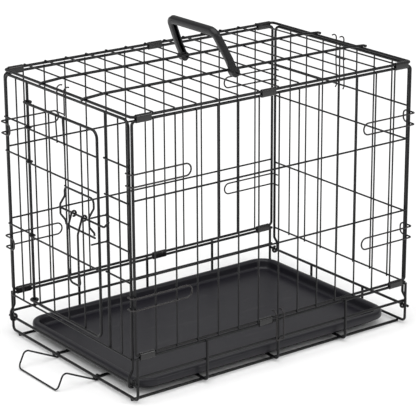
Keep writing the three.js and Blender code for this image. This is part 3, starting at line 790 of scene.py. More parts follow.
@dataclass
class LongWall:
    """One long wall: a heavy ring, two rails and thin uprights welded outside them."""

    plan: Layout
    side: int
    name: str
    rails: tuple[float, ...] = (363.0, 226.0)
    upright_count: int = 13
    spacing: float = 43.9
    ring_bend: float = 7.0
    ring_weld: float = 2.0
    rail_weld: float = 1.4

    def build(self) -> None:
        p, g, side, work = self.plan, self.plan.gauges, self.side, WireSet()
        ring = [(0.0, p.wall_top), (-p.end_x, p.wall_top), (-p.end_x, p.wall_bottom),
                (p.end_x, p.wall_bottom), (p.end_x, p.wall_top), (SEAM, p.wall_top)]
        corners = [at(x, side * p.wall_y, z) for x, z in ring]
        work.wire(bent(corners, self.ring_bend), g.frame)
        rail_y, mesh_y = side * p.wall_rail_y, side * p.wall_mesh_y
        for z in self.rails:
            work.bar(at(-p.end_x, rail_y, z), at(p.end_x, rail_y, z), g.rail)
        foot, head = p.wall_bottom - g.overrun, p.wall_top + g.overrun
        for x in spread(self.upright_count, self.spacing):
            work.bar(at(x, mesh_y, foot), at(x, mesh_y, head), g.mesh)
            for z in (p.wall_bottom, p.wall_top):
                work.bead(at(x, side * (p.wall_y + self.ring_weld), z), g.ring_bead)
            for z in self.rails:
                work.bead(at(x, side * (p.wall_rail_y + self.rail_weld), z), g.rail_bead)
        make_wires(f"{self.name}_wires", work, Finish.WIRE, "crate", [self.name])


@dataclass
class CornerClips:
    """Hairpin clips on the long walls, open at two corners and closed round the other two."""

    plan: Layout
    heights: tuple[tuple[str, float], ...] = (("upper", 399.8), ("lower", 182.8))
    leg_spacing: float = 21.4
    length: float = 190.0
    corner_bend: float = 5.0
    stub_reach: float = 190.0
    stub_x: float = 311.2
    loop_x: float = 312.4
    loop_reach: float = 175.0
    loop_bend: float = 8.0

    def _hairpin(self, end: int, side: int, height: float, closed: bool) -> Path:
        """The path of one clip.

        Args:
            end: -1 at the door end, 1 at the far end.
            side: -1 at the front, 1 at the back.
            height: The clip's middle height.
            closed: Whether it closes round the corner.

        Returns:
            The path.
        """
        p, half = self.plan, self.leg_spacing / 2
        x = self.loop_x if closed else self.stub_x
        reach = self.loop_reach if closed else self.stub_reach
        tail = self.length + half

        def leg(z: float) -> Path:
            """The corners of one leg, from the end panel round to the wall."""
            return [at(end * x, side * reach, z), at(end * x, side * p.clip_y, z),
                    at(end * tail, side * p.clip_y, z)]

        upper, lower, bends = leg(height + half), leg(height - half)[::-1], [self.corner_bend]
        turn = arc(at(end * tail, side * p.clip_y, height), at(0, 0, half),
                   at(-end * half, 0, 0), math.pi)
        if closed:
            bends = [self.loop_bend, self.corner_bend]
            upper.insert(0, at(end * x, side * reach, height))
            lower.append(at(end * x, side * reach, height - SEAM))
        return bent(upper, bends)[:-1] + turn + bent(lower, bends[::-1])[1:]

    def build(self) -> None:
        work, nodes = WireSet(), []
        for side_name, side in (("front", -1), ("back", 1)):
            for end_name, end in (("door_end", -1), ("far_end", 1)):
                for level, height in self.heights:
                    work.wire(self._hairpin(end, side, height, end != side),
                              self.plan.gauges.rail * FLAT)
                    nodes.append(f"{side_name}_{end_name}_{level}_clip")
        make_wires("corner_clips", work, Finish.CLIP, "crate", nodes, 12)


@dataclass
class HingeSleeves:
    """Pressed sleeves round the stacked wires of the folding edges."""

    plan: Layout
    length: float = 30.0
    corner_x: float = 281.0
    upper_middle: float = 22.0
    lower_middle: float = 26.0
    outer: float = 3.88
    inner: float = 2.95
    edge: float = 0.35
    arc_steps: int = 10

    def _ring(self, x: float, radius: float) -> Path:
        """One stadium-shaped ring of points across the sleeve.

        Args:
            x: Its place along the sleeve.
            radius: The radius of its two round ends.

        Returns:
            The points, in metres.
        """
        half = self.plan.stack / 2
        ring = []
        for start, z in ((0.0, half), (math.pi, -half)):
            for index in range(self.arc_steps + 1):
                angle = start + math.pi * index / self.arc_steps
                spot = at(x, radius * math.cos(angle), z + radius * math.sin(angle))
                ring.append(spot * MM)
        return ring

    def _template(self) -> bpy.types.Object:
        """One sleeve round the origin, closed, with eased ends.

        Returns:
            The sleeve.
        """
        half = self.length / 2
        stations = [(-half + self.edge, self.outer), (half - self.edge, self.outer),
                    (half, self.outer - self.edge), (half, self.inner), (-half, self.inner),
                    (-half, self.outer - self.edge)]
        shape = bmesh.new()
        rows = [[shape.verts.new(spot) for spot in self._ring(x, radius)]
                for x, radius in stations]
        bridge(shape, [*rows, rows[0]])
        return skin_object("sleeve_template", shape)

    @staticmethod
    def _tree() -> bpy.types.NodeTree:
        """A tree that puts a piece on every point.

        Returns:
            The tree.
        """
        tree = GeometryTree("sleeve_row", {"Piece": "Object", "Finish": "Material"})
        info = tree.add("GeometryNodeObjectInfo")
        row = tree.add("GeometryNodeInstanceOnPoints")
        real = tree.add("GeometryNodeRealizeInstances")
        paint = tree.add("GeometryNodeSetMaterial")
        tree.link((tree.given, "Piece", info, "Object"), (tree.given, "Geometry", row, "Points"),
                  (info, "Geometry", row, "Instance"), (row, "Instances", real, "Geometry"),
                  (real, "Geometry", paint, "Geometry"), (tree.given, "Finish", paint, "Material"),
                  (paint, "Geometry", tree.result, "Geometry"))
        return tree.group

    def build(self) -> None:
        p, spots, nodes = self.plan, [], []
        for side_name, side in (("front", -1), ("back", 1)):
            for level, low, middle in (("upper", p.wall_top, self.upper_middle),
                                       ("lower", p.base_top, self.lower_middle)):
                for place, x in (("door_end", -self.corner_x), ("middle", side * middle),
                                 ("far_end", self.corner_x)):
                    spots.append(DATUM.place(at(x, side * p.wall_y, low + p.stack / 2)))
                    nodes.append(f"{side_name}_{level}_{place}_sleeve")
        mesh = bpy.data.meshes.new("sleeve_spots")
        mesh.from_pydata(spots, [], [])
        source, template = link_object("sleeve_spots", mesh), self._template()
        piece = run_nodes("hinge_sleeves", source, self._tree(),
                          {"Piece": template, "Finish": Finish.SLEEVE.material()})
        bpy.data.objects.remove(template, do_unlink=True)
        smooth_below(piece.data, 40)
        settle(piece, "crate", nodes, Finish.SLEEVE)


@dataclass
class TopPanel:
    """The top: a heavy ring, thin cross wires and two middle wires that hook over the ends."""

    plan: Layout
    ring_bend: float = 7.0
    count: int = 13
    spacing: float = 43.7
    reach: float = 201.2
    middle_y: float = 66.0
    middle_reach: float = 315.0
    dip: float = 35.0
    tip: float = 507.5
    hook_run: float = 1.2
    hook_out: float = 0.6
    hook_drop: float = 1.7
    hook_bend: float = 1.5
    middle_bend: float = 8.0
    ring_weld: float = 2.0
    middle_weld: float = 1.5
    end_weld: float = 2.1

    def build(self) -> None:
        p, g, work = self.plan, self.plan.gauges, WireSet()
        z, mesh_z = p.top_z, p.top_mesh_z
        ring = [(0.0, p.wall_y), (-p.end_x, p.wall_y), (-p.end_x, -p.wall_y),
                (p.end_x, -p.wall_y), (p.end_x, p.wall_y), (SEAM, p.wall_y)]
        work.wire(bent([at(x, y, z) for x, y in ring], self.ring_bend), g.frame)
        out, run = self.reach + self.hook_out, self.reach - self.hook_run
        low = mesh_z - self.hook_drop
        for x in spread(self.count, self.spacing):
            hooked = [at(x, -out, low), at(x, -run, mesh_z), at(x, run, mesh_z), at(x, out, low)]
            work.wire(bent(hooked, self.hook_bend), g.mesh)
            for side in (-1, 1):
                work.bead(at(x, side * p.wall_y, z + self.ring_weld), g.ring_bead)
                work.bead(at(x, side * self.middle_y, mesh_z + self.middle_weld), g.middle_bead)
        end_z = z + g.weld(g.frame, g.frame)
        for y in (-self.middle_y, self.middle_y):
            half = [at(p.end_x - self.dip, y, p.top_middle_z), at(p.end_x - 6, y, end_z + 0.3),
                    at(p.end_x + 4, y, end_z - 0.2), at(self.middle_reach - 1, y, self.tip)]
            mirrored = [at(-spot.x, y, spot.z) for spot in reversed(half)]
            work.wire(bent(mirrored + half, self.middle_bend), g.frame)
            for end in (-1, 1):
                work.bead(at(end * p.end_x, y, z + self.end_weld), g.heavy_bead)
        make_wires("top_panel_wires", work, Finish.WIRE, "crate", ["top_panel"])


@dataclass
class EndPanel:
    """What the two folding ends share: posts with curled feet, rails and thin uprights."""

    plan: Layout
    post_y: float = 193.0
    post_bend: float = 12.0
    rail_reach: float = 195.4
    jog_top: float = 62.0
    jog_bottom: float = 48.0
    mesh_foot: float = 79.0
    curl_sweep: float = math.radians(270)
    foot_bend: float = 9.0
    rail_weld: float = 1.4
    post_weld: float = 1.8

    def post(self, end: int, side: int, head_end: float) -> Path:
        """The path of a post from the end of its foot's curl to the end of its head.

        Args:
            end: -1 at the door end, 1 at the far end.
            side: -1 at the front, 1 at the back.
            head_end: Where the head's run along the top ends.

        Returns:
            The path.
        """
        p, y = self.plan, side * self.post_y
        curl = arc(at(end * p.fold_x, y, p.fold_height), at(end * p.curl, 0, 0), at(0, 0, -p.curl),
                   self.curl_sweep)
        leg = bent([curl[0], at(end * (p.fold_x + p.curl), y, self.jog_bottom),
                    at(end * p.post_x, y, self.jog_top), at(end * p.post_x, y, p.end_top),
                    at(end * p.post_x, head_end, p.end_top)],
                   [self.foot_bend, self.foot_bend, self.post_bend])
        return list(reversed(curl)) + leg[1:]

    def hoop(self, work: WireSet, end: int) -> None:
        """Adds both posts as one wire that meets at the middle of the top."""
        left, right = self.post(end, 1, 0.0), self.post(end, -1, SEAM)
        work.wire(left + list(reversed(right)), self.plan.gauges.frame)

    def rail(self, work: WireSet, end: int, span: tuple[float, float], z: float) -> None:
        """Adds one rail between two places."""
        x = end * self.plan.end_rail_x
        work.bar(at(x, span[0], z), at(x, span[1], z), self.plan.gauges.rail)

    def upright(self, work: WireSet, end: int, y: float, rails: Iterable[float]) -> None:
        """Adds one thin upright with its welds.

        Args:
            work: The wires it joins.
            end: -1 at the door end, 1 at the far end.
            y: Its place across the panel.
            rails: The heights of its welds.
        """
        p, g = self.plan, self.plan.gauges
        head = at(end * p.end_mesh_x, y, p.end_top + g.overrun / 2)
        work.bar(at(end * p.end_mesh_x, y, self.mesh_foot), head, g.mesh)
        for z in rails:
            work.bead(at(end * (p.end_rail_x - self.rail_weld), y, z), g.rail_bead)


@dataclass
class FarEnd(EndPanel):
    """The plain folding end."""

    count: int = 7
    spacing: float = 49.0

    def build(self) -> None:
        p, g, work = self.plan, self.plan.gauges, WireSet()
        self.hoop(work, 1)
        rails = [*p.end_rails, p.end_bottom]
        for z in rails:
            self.rail(work, 1, (-self.rail_reach, self.rail_reach), z)
            for side in (-1, 1):
                work.bead(at(p.end_rail_x - self.post_weld, side * self.post_y, z), g.ring_bead)
        for y in spread(self.count, self.spacing):
            self.upright(work, 1, y, rails)
        make_wires("far_end_wires", work, Finish.WIRE, "far_end_panel", ["far_end_panel"])


@dataclass
class DoorEnd(EndPanel):
    """The folding end with the doorway and the two bolt keepers."""

    left_mesh_y: float = 157.0
    opening_y: float = -126.0
    right_mesh_y: float = -164.0
    stub_left: float = 118.6
    stub_right: float = -123.6
    keeper_heights: tuple[float, ...] = (322.0, 275.0)
    keeper_start: float = -195.0
    keeper_end: float = -128.0
    keeper_tip: float = 341.0
    keeper_bend: float = 5.0
    keeper_weld: float = 1.5

    def build(self) -> None:
        p, g, work = self.plan, self.plan.gauges, WireSet()
        self.hoop(work, -1)
        foot, head = p.end_bottom - g.overrun, p.end_top + g.overrun / 2
        for y in (p.hinge_y, self.opening_y):
            work.bar(at(-p.post_x, y, foot), at(-p.post_x, y, head), g.frame)
        rails = [*p.end_rails, p.end_bottom]
        for z in rails:
            spans = [(self.stub_left, self.rail_reach), (-self.rail_reach, self.stub_right)]
            for span in [(-self.rail_reach, self.rail_reach)] if z == p.end_bottom else spans:
                self.rail(work, -1, span, z)
            for y in (self.post_y, p.hinge_y, self.opening_y, -self.post_y):
                work.bead(at(-p.end_rail_x + self.post_weld, y, z), g.ring_bead)
        for y in (self.left_mesh_y, self.right_mesh_y):
            self.upright(work, -1, y, rails)
        make_wires("door_end_wires", work, Finish.WIRE, "door_end_panel",
                   ["door_end_left_strip", "door_end_right_strip", "door_end_top_rail",
                    "door_end_bottom_rail"])
        keepers = WireSet()
        for z in self.keeper_heights:
            corners = [at(-p.keeper_x, self.keeper_start, z), at(-p.keeper_x, self.keeper_end, z),
                       at(-self.keeper_tip, self.keeper_end, z)]
            keepers.wire(bent(corners, self.keeper_bend), g.rail)
            for y in (-self.post_y, self.right_mesh_y, self.opening_y):
                keepers.bead(at(-p.keeper_x + self.keeper_weld, y, z), g.keeper_bead)
        make_wires("bolt_keepers", keepers, Finish.LATCH, "door_end_panel",
                   ["bolt_keeper_upper", "bolt_keeper_lower"])


@dataclass
class Door:
    """The door: a bent frame curled round its hinge wire, rails, uprights and catch tongues."""

    plan: Layout
    top: float = 463.0
    bottom: float = 92.4
    bend: float = 14.0
    rail_curl: float = 4.85
    upright_ys: tuple[float, ...] = (97.0, 48.0, -1.0, -53.0)
    sweep: float = math.radians(270)
    stub_weld: float = 2.0
    frame_weld: float = 1.5
    rail_weld: float = 1.3
    tongue_ease: float = 4.0
    tongue_bend: float = 6.0

    def _curl(self, z: float, radius: float) -> Path:
        """A curl round the hinge wire, starting on the outer face."""
        p = self.plan
        return arc(at(-p.post_x, p.hinge_y, z), at(-radius, 0, 0), at(0, radius, 0), self.sweep)

    def build(self) -> None:
        p, g, work = self.plan, self.plan.gauges, WireSet()
        turns = [(p.hinge_y, self.top), (p.latch_side_y, self.top),
                 (p.latch_side_y, self.bottom), (p.hinge_y, self.bottom)]
        outline = bent([at(-p.door_x, y, z) for y, z in turns], self.bend)
        upper = list(reversed(self._curl(self.top, p.curl)))
        work.wire(upper[:-1] + outline + self._curl(self.bottom, p.curl)[1:], g.frame)
        rails = [z - p.rail_drop for z in p.end_rails]
        for z in rails:
            start = at(-p.door_rail_x, p.latch_side_y, z)
            work.wire([start] + self._curl(z, self.rail_curl), g.rail)
            work.bead(start + at(0, self.stub_weld, 0), g.stub_bead)
        for y in self.upright_ys:
            foot = at(-p.door_mesh_x, y, self.bottom - g.overrun / 2)
            work.bar(foot, at(-p.door_mesh_x, y, self.top + g.overrun / 2), g.mesh)
            for z in (self.bottom, self.top):
                work.bead(at(-p.door_mesh_x - self.frame_weld, y, z), g.middle_bead)
            for z in rails:
                work.bead(at(-p.door_mesh_x - self.rail_weld, y, z), g.rail_bead)
        face_x = p.door_x + g.weld(g.frame, g.catch)
        rail_x = p.door_rail_x + g.weld(g.rail, g.catch)
        rail_z = p.end_rails[0] - p.rail_drop
        for side in (-1, 1):
            y = p.tongue_y + side * p.tongue_spacing / 2
            corners = [at(-face_x, y, self.top + g.overrun),
                       at(-face_x, y, self.top - self.tongue_ease),
                       at(-rail_x, y, rail_z + self.tongue_ease),
                       at(-rail_x, y, rail_z - g.overrun)]
            work.wire(bent(corners, self.tongue_bend), g.catch)
        make_wires("door_wires", work, Finish.WIRE, "door", ["door"])


@dataclass
class Latch:
    """The slide bolt, its bracket on the door and its drop handle."""

    plan: Layout
    bolt_z: float = 302.0
    bolt_x: float = 317.2
    bolt_left: float = 8.0
    bolt_right: float = -132.0
    bolt_tip: tuple[float, float, float] = (-314.0, -142.0, 313.0)
    left: float = -3.0
    right: float = -94.0
    top: float = 341.0
    bottom: float = 272.0
    bend: float = 9.0
    bow_bend: float = 4.5
    bow_x: float = 321.9
    bow_half: float = 9.0
    bow_run: float = 22.0
    handle_curl: float = 4.6
    handle_ys: tuple[float, float] = (-38.0, -71.0)
    handle_x: float = 331.0
    shoulder: float = 275.0
    handle_bottom: float = 180.0
    handle_inset: float = 3.0
    handle_bend: float = 9.0
    handle_flare: float = 28.0
    bolt_bend: float = 8.0
    bracket_weld: float = 1.9
    weld_ys: tuple[float, float] = (-1.0, -53.0)

    def build(self) -> None:
        self._bracket()
        self._bolt()
        self._handle()

    def _bracket(self) -> None:
        """The wire rectangle whose sides bow out over the bolt."""
        p, g, work = self.plan, self.plan.gauges, WireSet()

        def bow(y: float) -> Path:
            """The bowed side, from top to bottom.

            Args:
                y: The side's place.

            Returns:
                Its corners.
            """
            return [at(-p.bracket_x, y, self.bolt_z + self.bow_run),
                    at(-self.bow_x, y, self.bolt_z + self.bow_half),
                    at(-self.bow_x, y, self.bolt_z - self.bow_half),
                    at(-p.bracket_x, y, self.bolt_z - self.bow_run)]

        start = at(-p.bracket_x, self.right, self.bottom + g.clear(g.latch, g.latch))
        corners = [start, *reversed(bow(self.right)), at(-p.bracket_x, self.right, self.top),
                   at(-p.bracket_x, self.left, self.top), *bow(self.left),
                   at(-p.bracket_x, self.left, self.bottom),
                   at(-p.bracket_x, self.right - g.overrun, self.bottom)]
        bows = [self.bow_bend] * 4
        work.wire(bent(corners, [*bows, self.bend, self.bend, *bows, self.bend]), g.latch)
        for y in self.weld_ys:
            for z in (self.top, self.bottom):
                work.bead(at(-p.bracket_x + self.bracket_weld, y, z), g.middle_bead)
        make_wires("latch_bracket_wire", work, Finish.LATCH, "door", ["latch_bracket"])

    def _bolt(self) -> None:
        """The bolt, with its tip turned up."""
        g, work = self.plan.gauges, WireSet()
        corners = [at(-self.bolt_x, self.bolt_left, self.bolt_z),
                   at(-self.bolt_x, self.bolt_right, self.bolt_z), at(*self.bolt_tip)]
        work.wire(bent(corners, self.bolt_bend), g.latch)
        make_wires("latch_bolt_wire", work, Finish.LATCH, "latch_bolt", ["latch_bolt"])

    def _handle(self) -> None:
        """The drop handle, curled round the bolt at both ends."""
        g, work = self.plan.gauges, WireSet()
        drop, reach = self.shoulder - self.bolt_z, self.bolt_x - self.handle_x
        touch = math.atan2(drop, reach) - math.acos(self.handle_curl / math.hypot(drop, reach))

        def arm(angle: float) -> Vector:
            """A spoke of the curl."""
            return at(math.cos(angle), 0, math.sin(angle)) * self.handle_curl

        def curl(y: float) -> Path:
            """The curl round the bolt, from where the leg leaves it."""
            return arc(at(-self.bolt_x, y, self.bolt_z), arm(touch), arm(touch - QUARTER),
                       math.radians(270))

        upper_y, lower_y = self.handle_ys
        upper, lower = curl(upper_y), curl(lower_y)
        inset = self.handle_bottom + self.handle_flare
        low_x = self.handle_x - self.handle_inset
        half = [(self.handle_x, self.shoulder), (self.handle_x, inset),
                (low_x, self.handle_bottom)]
        run = [upper[0], *(at(-x, upper_y, z) for x, z in half),
               *(at(-x, lower_y, z) for x, z in reversed(half)), lower[0]]
        work.wire(list(reversed(upper))[:-1] + bent(run, self.handle_bend) + lower[1:], g.latch)
        make_wires("latch_handle_wire", work, Finish.LATCH, "latch_handle", ["latch_handle"])


@dataclass
class Catches:
    """The two top catches and the base catch."""

    plan: Layout
    radius: float = 7.0
    rise: float = 3.4
    past: float = math.radians(30)
    foot: float = 466.6
    far_foot: float = 421.0
    tip_run: float = 3.0
    tip_drop: float = 8.0
    base_xs: tuple[float, float] = (-7.0, 9.0)
    base_radius: float = 8.7
    base_foot: float = 44.0
    leg_bend: float = 6.0

    def _hook(self, centre: Vector, outward: Vector, radius: float) -> Path:
        """A hook from past the top of its ring to its outer side."""
        return list(reversed(arc(centre, outward * radius, at(0, 0, radius), QUARTER + self.past)))

    def _top(self, name: str, end: int, feet: Callable[[float], Path]) -> None:
        """Makes one top catch.

        Args:
            name: Its body and CAD node.
            end: -1 at the door end, 1 at the far end.
            feet: The rest of a leg's corners at a given y.
        """
        p, g, work = self.plan, self.plan.gauges, WireSet()
        for side in (-1, 1):
            y = p.tongue_y + side * p.tongue_spacing / 2
            centre = at(end * p.end_x, y, p.top_z + self.rise)
            hook = self._hook(centre, at(end, 0, 0), self.radius)
            work.wire(hook[:-1] + bent([hook[-1], *feet(y)], self.leg_bend), g.catch)
        x = end * (p.end_x + self.radius + g.weld(g.catch, g.catch))
        z, half = self.foot + 2 * g.overrun, p.tongue_spacing / 2 + g.overrun
        work.bar(at(x, p.tongue_y - half, z), at(x, p.tongue_y + half, z), g.catch)
        make_wires(f"{name}_wire", work, Finish.CLIP, name, [name], 12)

    def build(self) -> None:
        p, g = self.plan, self.plan.gauges
        near_x = -p.end_x - self.radius
        far_x = p.end_x + self.radius
        outer = p.end_rail_x + g.clear(g.rail, g.catch) + g.gap
        self._top("top_catch_door_end", -1, lambda y: [at(near_x, y, self.foot)])
        self._top("top_catch_far_end", 1, lambda y: [
            at(far_x, y, self.foot), at(outer, y, self.far_foot + self.tip_drop),
            at(outer, y, self.far_foot - self.tip_drop / 2),
            at(outer - self.tip_run, y, self.far_foot - self.tip_drop)])
        work, y = WireSet(), -p.wall_y
        for x in self.base_xs:
            centre = at(x, y, p.wall_bottom + self.rise)
            hook = self._hook(centre, at(0, -1, 0), self.base_radius)
            work.wire([*hook, at(x, y - self.base_radius, self.base_foot)], g.catch)
        outer_y, z = y - self.base_radius, self.base_foot + g.overrun
        work.bar(at(self.base_xs[0] - 1, outer_y, z), at(self.base_xs[1] + 1, outer_y, z), g.catch)
        make_wires("base_catch_wire", work, Finish.CLIP, "base_catch", ["base_catch"], 12)


@dataclass
class Tray:
    """The slide-out tray: a shallow tub with a rolled rim."""

    corner: float = 38.0
    corner_steps: int = 14
    rim: float = 13.0
    lip: float = 13.0

    def _profile(self, low: float, top: float) -> list[tuple[float, float]]:
        """The section from the middle of the underside round the rim to the inside floor.

        Args:
            low: The underside's height.
            top: The rim's height.

        Returns:
            Pairs of inset from the outline and height, in millimetres.
        """
        wall = self.rim - 2.4
        return [(17.0, low), (wall + 3.2, low), (wall + 1.2, low + 0.7), (wall + 0.3, low + 2.4),
                (wall, top - self.lip - 1.2), (wall - 0.3, top - 6.4), (wall - 1.4, top - 4.4),
                (4.2, top - 3.2), (2.9, top - 4.2), (2.4, top - 6.4), (2.4, top - self.lip + 0.8),
                (2.1, top - self.lip + 0.1), (0.6, top - self.lip), (0.1, top - self.lip + 0.5),
                (0.0, top - 5.4), (0.25, top - 3.6), (0.9, top - 1.9), (2.0, top - 0.8),
                (3.6, top - 0.15), (5.0, top), (8.4, top), (10.2, top - 0.3), (11.7, top - 1.2),
                (12.7, top - 2.8), (13.2, top - 5.0), (14.0, low + 8.6), (14.8, low + 5.4),
                (16.6, low + 3.5), (19.6, low + 2.75), (24.0, low + 2.6)]

    def _outline(self, low: Vector, high: Vector, inset: float, z: float) -> Path:
        """A rounded rectangle in millimetres of the shared frame.

        Args:
            low: The tray box's low corner.
            high: The tray box's high corner.
            inset: How far it lies inside the box.
            z: Its height.

        Returns:
            The points.
        """
        radius = max(self.corner - inset, 2.0)
        ring: Path = []
        spots = [(high.x - inset - radius, high.y - inset - radius, 0.0),
                 (low.x + inset + radius, high.y - inset - radius, QUARTER),
                 (low.x + inset + radius, low.y + inset + radius, math.pi),
                 (high.x - inset - radius, low.y + inset + radius, math.pi + QUARTER)]
        for x, y, start in spots:
            for index in range(self.corner_steps + 1):
                angle = start + QUARTER * index / self.corner_steps
                ring.append(at(x + radius * math.cos(angle), y + radius * math.sin(angle), z))
        return ring

    def build(self) -> None:
        low, high = (Vector(corner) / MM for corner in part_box("pan"))
        shape = bmesh.new()
        rows = [[shape.verts.new(spot * MM) for spot in self._outline(low, high, inset, z)]
                for inset, z in self._profile(low.z, high.z)]
        bridge(shape, rows)
        shape.faces.new(list(reversed(rows[0])))
        shape.faces.new(rows[-1])
        piece = skin_object("tray", shape)
        smooth_below(piece.data, 50)
        settle(piece, "pan", ["pan"], Finish.TRAY)


@dataclass
class PanStop:
    """The wire bail that keeps the tray in, curled round the door-end cross wire."""

    plan: Layout
    curl: float = 4.8
    angle: float = math.radians(25)
    arm: float = 72.0
    half: float = 64.0
    middle: float = -12.0
    lip: float = 34.0
    bend: float = 9.0
    sweep: float = math.pi * 1.2

    def build(self) -> None:
        p, work = self.plan, WireSet()
        along = at(-math.cos(self.angle), 0, math.sin(self.angle))
        down = at(-math.sin(self.angle), 0, -math.cos(self.angle))

        def leg(y: float) -> tuple[Path, Vector, Vector]:
            """The curl, elbow and tip of one side.

            Args:
                y: The side's place.

            Returns:
                The curl's path, the elbow and the tip.
            """
            curl = list(reversed(arc(at(-p.end_x, y, p.cross_z), down * self.curl,
                                     along * -self.curl, self.sweep)))
            elbow = curl[-1] + along * self.arm
            return curl, elbow, elbow + down * self.lip

        back, back_elbow, back_tip = leg(self.middle + self.half)
        front, front_elbow, front_tip = leg(self.middle - self.half)
        run = bent([back[-1], back_elbow, back_tip, front_tip, front_elbow, front[-1]], self.bend)
        work.wire(back[:-1] + run + list(reversed(front))[1:], p.gauges.rail)
        make_wires("pan_stop_wire", work, Finish.LATCH, "pan_stop", ["pan_stop"])


@dataclass
class CarryGrip:
    """The moulded carry handle: a ribbed channel on two feet round the middle cross wire."""

    plan: Layout
    foot_y: float = 76.0
    neck_y: float = 67.0
    rise: float = 84.0
    foot_rise: float = 26.0
    lean: float = math.radians(25)
    bend: float = 15.0
    width: float = 14.0
    depth: float = 12.0
    wall: float = 3.0
    sole: float = 8.6
    bore: float = 1.95
    ease: float = 3.1
    ease_middle: float = 1.15
    sink: float = 1.0
    rib_pitch: float = 12.5
    rib_half: float = 0.7
    rib_root: float = 0.4
    rib_set_back: float = 1.6
    foot_edge: float = 0.6
    foot_steps: int = 36
    barb: float = 0.34
    barb_angle: float = math.radians(160)

    def _spot(self, y: float, distance: float) -> Vector:
        """A place in the handle's leaning plane."""
        up = at(-math.sin(self.lean), 0, math.cos(self.lean))
        return at(0, y, self.plan.top_mesh_z) + up * distance

    def _section(self) -> list[tuple[float, float]]:
        """The channel section: outward in the plane, then across it.

        Returns:
            Pairs of outward and across, in millimetres.
        """
        half, deep, wall = self.width / 2, self.depth / 2, self.wall
        ease, middle = self.ease, self.ease_middle
        return [(half - ease, -deep), (half - middle, -deep + middle), (half, -deep + ease),
                (half, deep - ease), (half - middle, deep - middle), (half - ease, deep),
                (-half + 1.2, deep), (-half + 0.3, deep - 0.5), (-half, deep - 1.4),
                (-half, deep - wall), (half - wall, deep - wall), (half - wall, -deep + wall),
                (-half, -deep + wall), (-half, -deep + 1.4), (-half + 0.3, -deep + 0.5),
                (-half + 1.2, -deep)]

    def build(self) -> None:
        half = [(self.foot_y, -self.sink), (self.foot_y, self.foot_rise),
                (self.neck_y, self.rise)]
        corners = [self._spot(-y, up) for y, up in half]
        corners += [self._spot(y, up) for y, up in reversed(half)]
        path = bent(corners, self.bend, 6.0)
        across = at(math.cos(self.lean), 0, math.sin(self.lean))
        shape = bmesh.new()
        rows = []
        for index, spot in enumerate(path):
            before, after = path[max(index - 1, 0)], path[min(index + 1, len(path) - 1)]
            outward = (after - before).normalized().cross(across)
            outward = outward if outward.dot(spot - self._spot(0, 20)) > 0 else -outward
            row = [spot + outward * out + across * over for out, over in self._section()]
            rows.append([shape.verts.new(DATUM.place(place)) for place in row])
        bridge(shape, rows)
        shape.faces.new(rows[0])
        shape.faces.new(rows[-1])
        for step in range(-4, 5):
            self._rib(shape, step * self.rib_pitch, across)
        for side in (-1, 1):
            self._foot(shape, side * self.foot_y)
        piece = skin_object("carry_grip", shape)
        smooth_below(piece.data, 35)
        settle(piece, "carry_handle", ["carry_handle"], Finish.GRIP)

    def _rib(self, shape: bmesh.types.BMesh, y: float, across: Vector) -> None:
        """A thin web across the channel.

        Args:
            shape: The mesh it joins.
            y: Its place along the grip.
            across: The direction across the channel.
        """
        half, deep = self.width / 2, self.depth / 2 - self.wall + self.rib_root
        root, tip = half - self.wall + self.rib_root, -half + self.rib_set_back
        up = (self._spot(0, 1) - self._spot(0, 0)).normalized()
        rows = []
        for place_y in (y - self.rib_half, y + self.rib_half):
            spot = self._spot(place_y, self.rise)
            rows.append([shape.verts.new(DATUM.place(spot + up * out + across * over))
                         for out, over in ((root, -deep), (root, deep), (tip, deep), (tip, -deep))])
        shape.faces.new(rows[0])
        shape.faces.new(list(reversed(rows[1])))
        bridge(shape, rows)

    def _foot(self, shape: bmesh.types.BMesh, y: float) -> None:
        """A round foot, bored for the cross wire, with a small barb.

        Args:
            shape: The mesh it joins.
            y: The foot's place.
        """
        half, edge = self.depth / 2, self.foot_edge
        stations = [(-half + edge, self.sole), (half - edge, self.sole), (half, self.sole - edge),
                    (half, self.bore), (-half, self.bore), (-half, self.sole - edge)]
        rows = []
        for dy, radius in stations:
            ring = []
            for index in range(self.foot_steps):
                angle = 2 * math.pi * index / self.foot_steps
                reach = radius
                if radius > self.bore:
                    reach *= 1 + self.barb * max(0.0, math.cos(angle - self.barb_angle)) ** 10
                place = at(reach * math.cos(angle), y + dy,
                           self.plan.top_mesh_z + reach * math.sin(angle))
                ring.append(shape.verts.new(DATUM.place(place)))
            rows.append(ring)
        bridge(shape, [*rows, rows[0]])


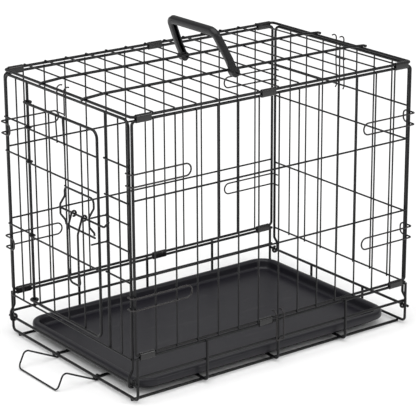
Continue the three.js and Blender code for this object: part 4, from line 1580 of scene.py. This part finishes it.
# --------------------------------------------------------------------------- stage
@dataclass
class Studio:
    """The floor, the lights and the camera."""

    camera_place: tuple[float, float, float] = (-1974.8, -2669.4, 1345.1)
    azimuth: float = math.radians(-36.45)
    pitch: float = math.radians(18.45)
    roll: float = math.radians(-0.30)
    lens: float = 165.4
    floor_size: float = 60.0
    sky_strength: float = 0.5
    sun_power: float = 2.5
    sun_angle: float = math.radians(70)
    sun_place: tuple[float, float, float] = (-0.5, -0.55, 2.4)
    lamp_size: float = 0.8
    aim: tuple[float, float, float] = (0.03, 0.0, 0.25)
    lamps: tuple[tuple[str, tuple[float, float, float], float], ...] = (
        ("front_light", (1.4, -2.6, 1.7), 14.0), ("left_light", (-2.6, -0.4, 1.5), 10.0))

    def build(self) -> None:
        """Makes the stage."""
        self._floor()
        self._lights()
        self._camera()

    def _floor(self) -> None:
        """A plain pale floor."""
        half = self.floor_size / 2
        mesh = bpy.data.meshes.new("pale_floor")
        corners = [(-half, -half, 0), (half, -half, 0), (half, half, 0), (-half, half, 0)]
        mesh.from_pydata(corners, [], [(0, 1, 2, 3)])
        mesh.materials.append(PaleBoard().build())
        link_object("pale_floor", mesh)

    def _lights(self) -> None:
        """Soft light from above and both sides, under a white sky."""
        scene = bpy.context.scene
        world = scene.world or bpy.data.worlds.new("sky")
        scene.world = world
        world.use_nodes = True
        sky = world.node_tree.nodes["Background"]
        sky.inputs["Color"].default_value = (1.0, 1.0, 1.0, 1.0)
        sky.inputs["Strength"].default_value = self.sky_strength
        sun = bpy.data.lights.new("window_light", "SUN")
        sun.energy = self.sun_power
        sun.angle = self.sun_angle
        self._hang(sun, self.sun_place)
        for name, place, power in self.lamps:
            lamp = bpy.data.lights.new(name, "AREA")
            lamp.shape = "SQUARE"
            lamp.size = self.lamp_size
            lamp.energy = power
            self._hang(lamp, place)

    def _hang(self, lamp: bpy.types.Light, place: tuple[float, float, float]) -> None:
        """Puts one lamp in place, aimed at the crate.

        Args:
            lamp: The lamp.
            place: Where it hangs.
        """
        turn = (Vector(self.aim) - Vector(place)).to_track_quat("-Z", "Y").to_matrix().to_4x4()
        link_object(lamp.name, lamp).matrix_world = Matrix.Translation(place) @ turn

    def _camera(self) -> None:
        """The camera at the main three-quarter view."""
        back = Vector((math.sin(self.azimuth) * math.cos(self.pitch),
                       -math.cos(self.azimuth) * math.cos(self.pitch), math.sin(self.pitch)))
        right = Vector((math.cos(self.azimuth), math.sin(self.azimuth), 0.0))
        up = back.cross(right)
        turned = right * math.cos(self.roll) + up * math.sin(self.roll)
        upright = up * math.cos(self.roll) - right * math.sin(self.roll)
        lens = bpy.data.cameras.new("view")
        lens.lens = self.lens
        lens.sensor_width = 36.0
        lens.clip_end = 100.0
        holder = link_object("view", lens)
        turn = Matrix((turned, upright, back)).transposed().to_4x4()
        holder.matrix_world = Matrix.Translation(DATUM.place(Vector(self.camera_place))) @ turn
        bpy.context.scene.camera = holder
        bpy.context.scene.view_settings.view_transform = "Standard"


def main() -> None:
    """Builds every sub-assembly in order."""
    logging.basicConfig(level=logging.INFO, format="%(message)s")
    plan = Layout()
    Studio().build()
    Base(plan).build()
    for side, name in ((-1, "front_wall"), (1, "back_wall")):
        LongWall(plan, side, name).build()
    for assembly in (CornerClips(plan), HingeSleeves(plan), TopPanel(plan), DoorEnd(plan),
                     FarEnd(plan), Door(plan), Latch(plan), Catches(plan), Tray(), PanStop(plan),
                     CarryGrip(plan)):
        assembly.build()


if __name__ == "__main__":
    main()
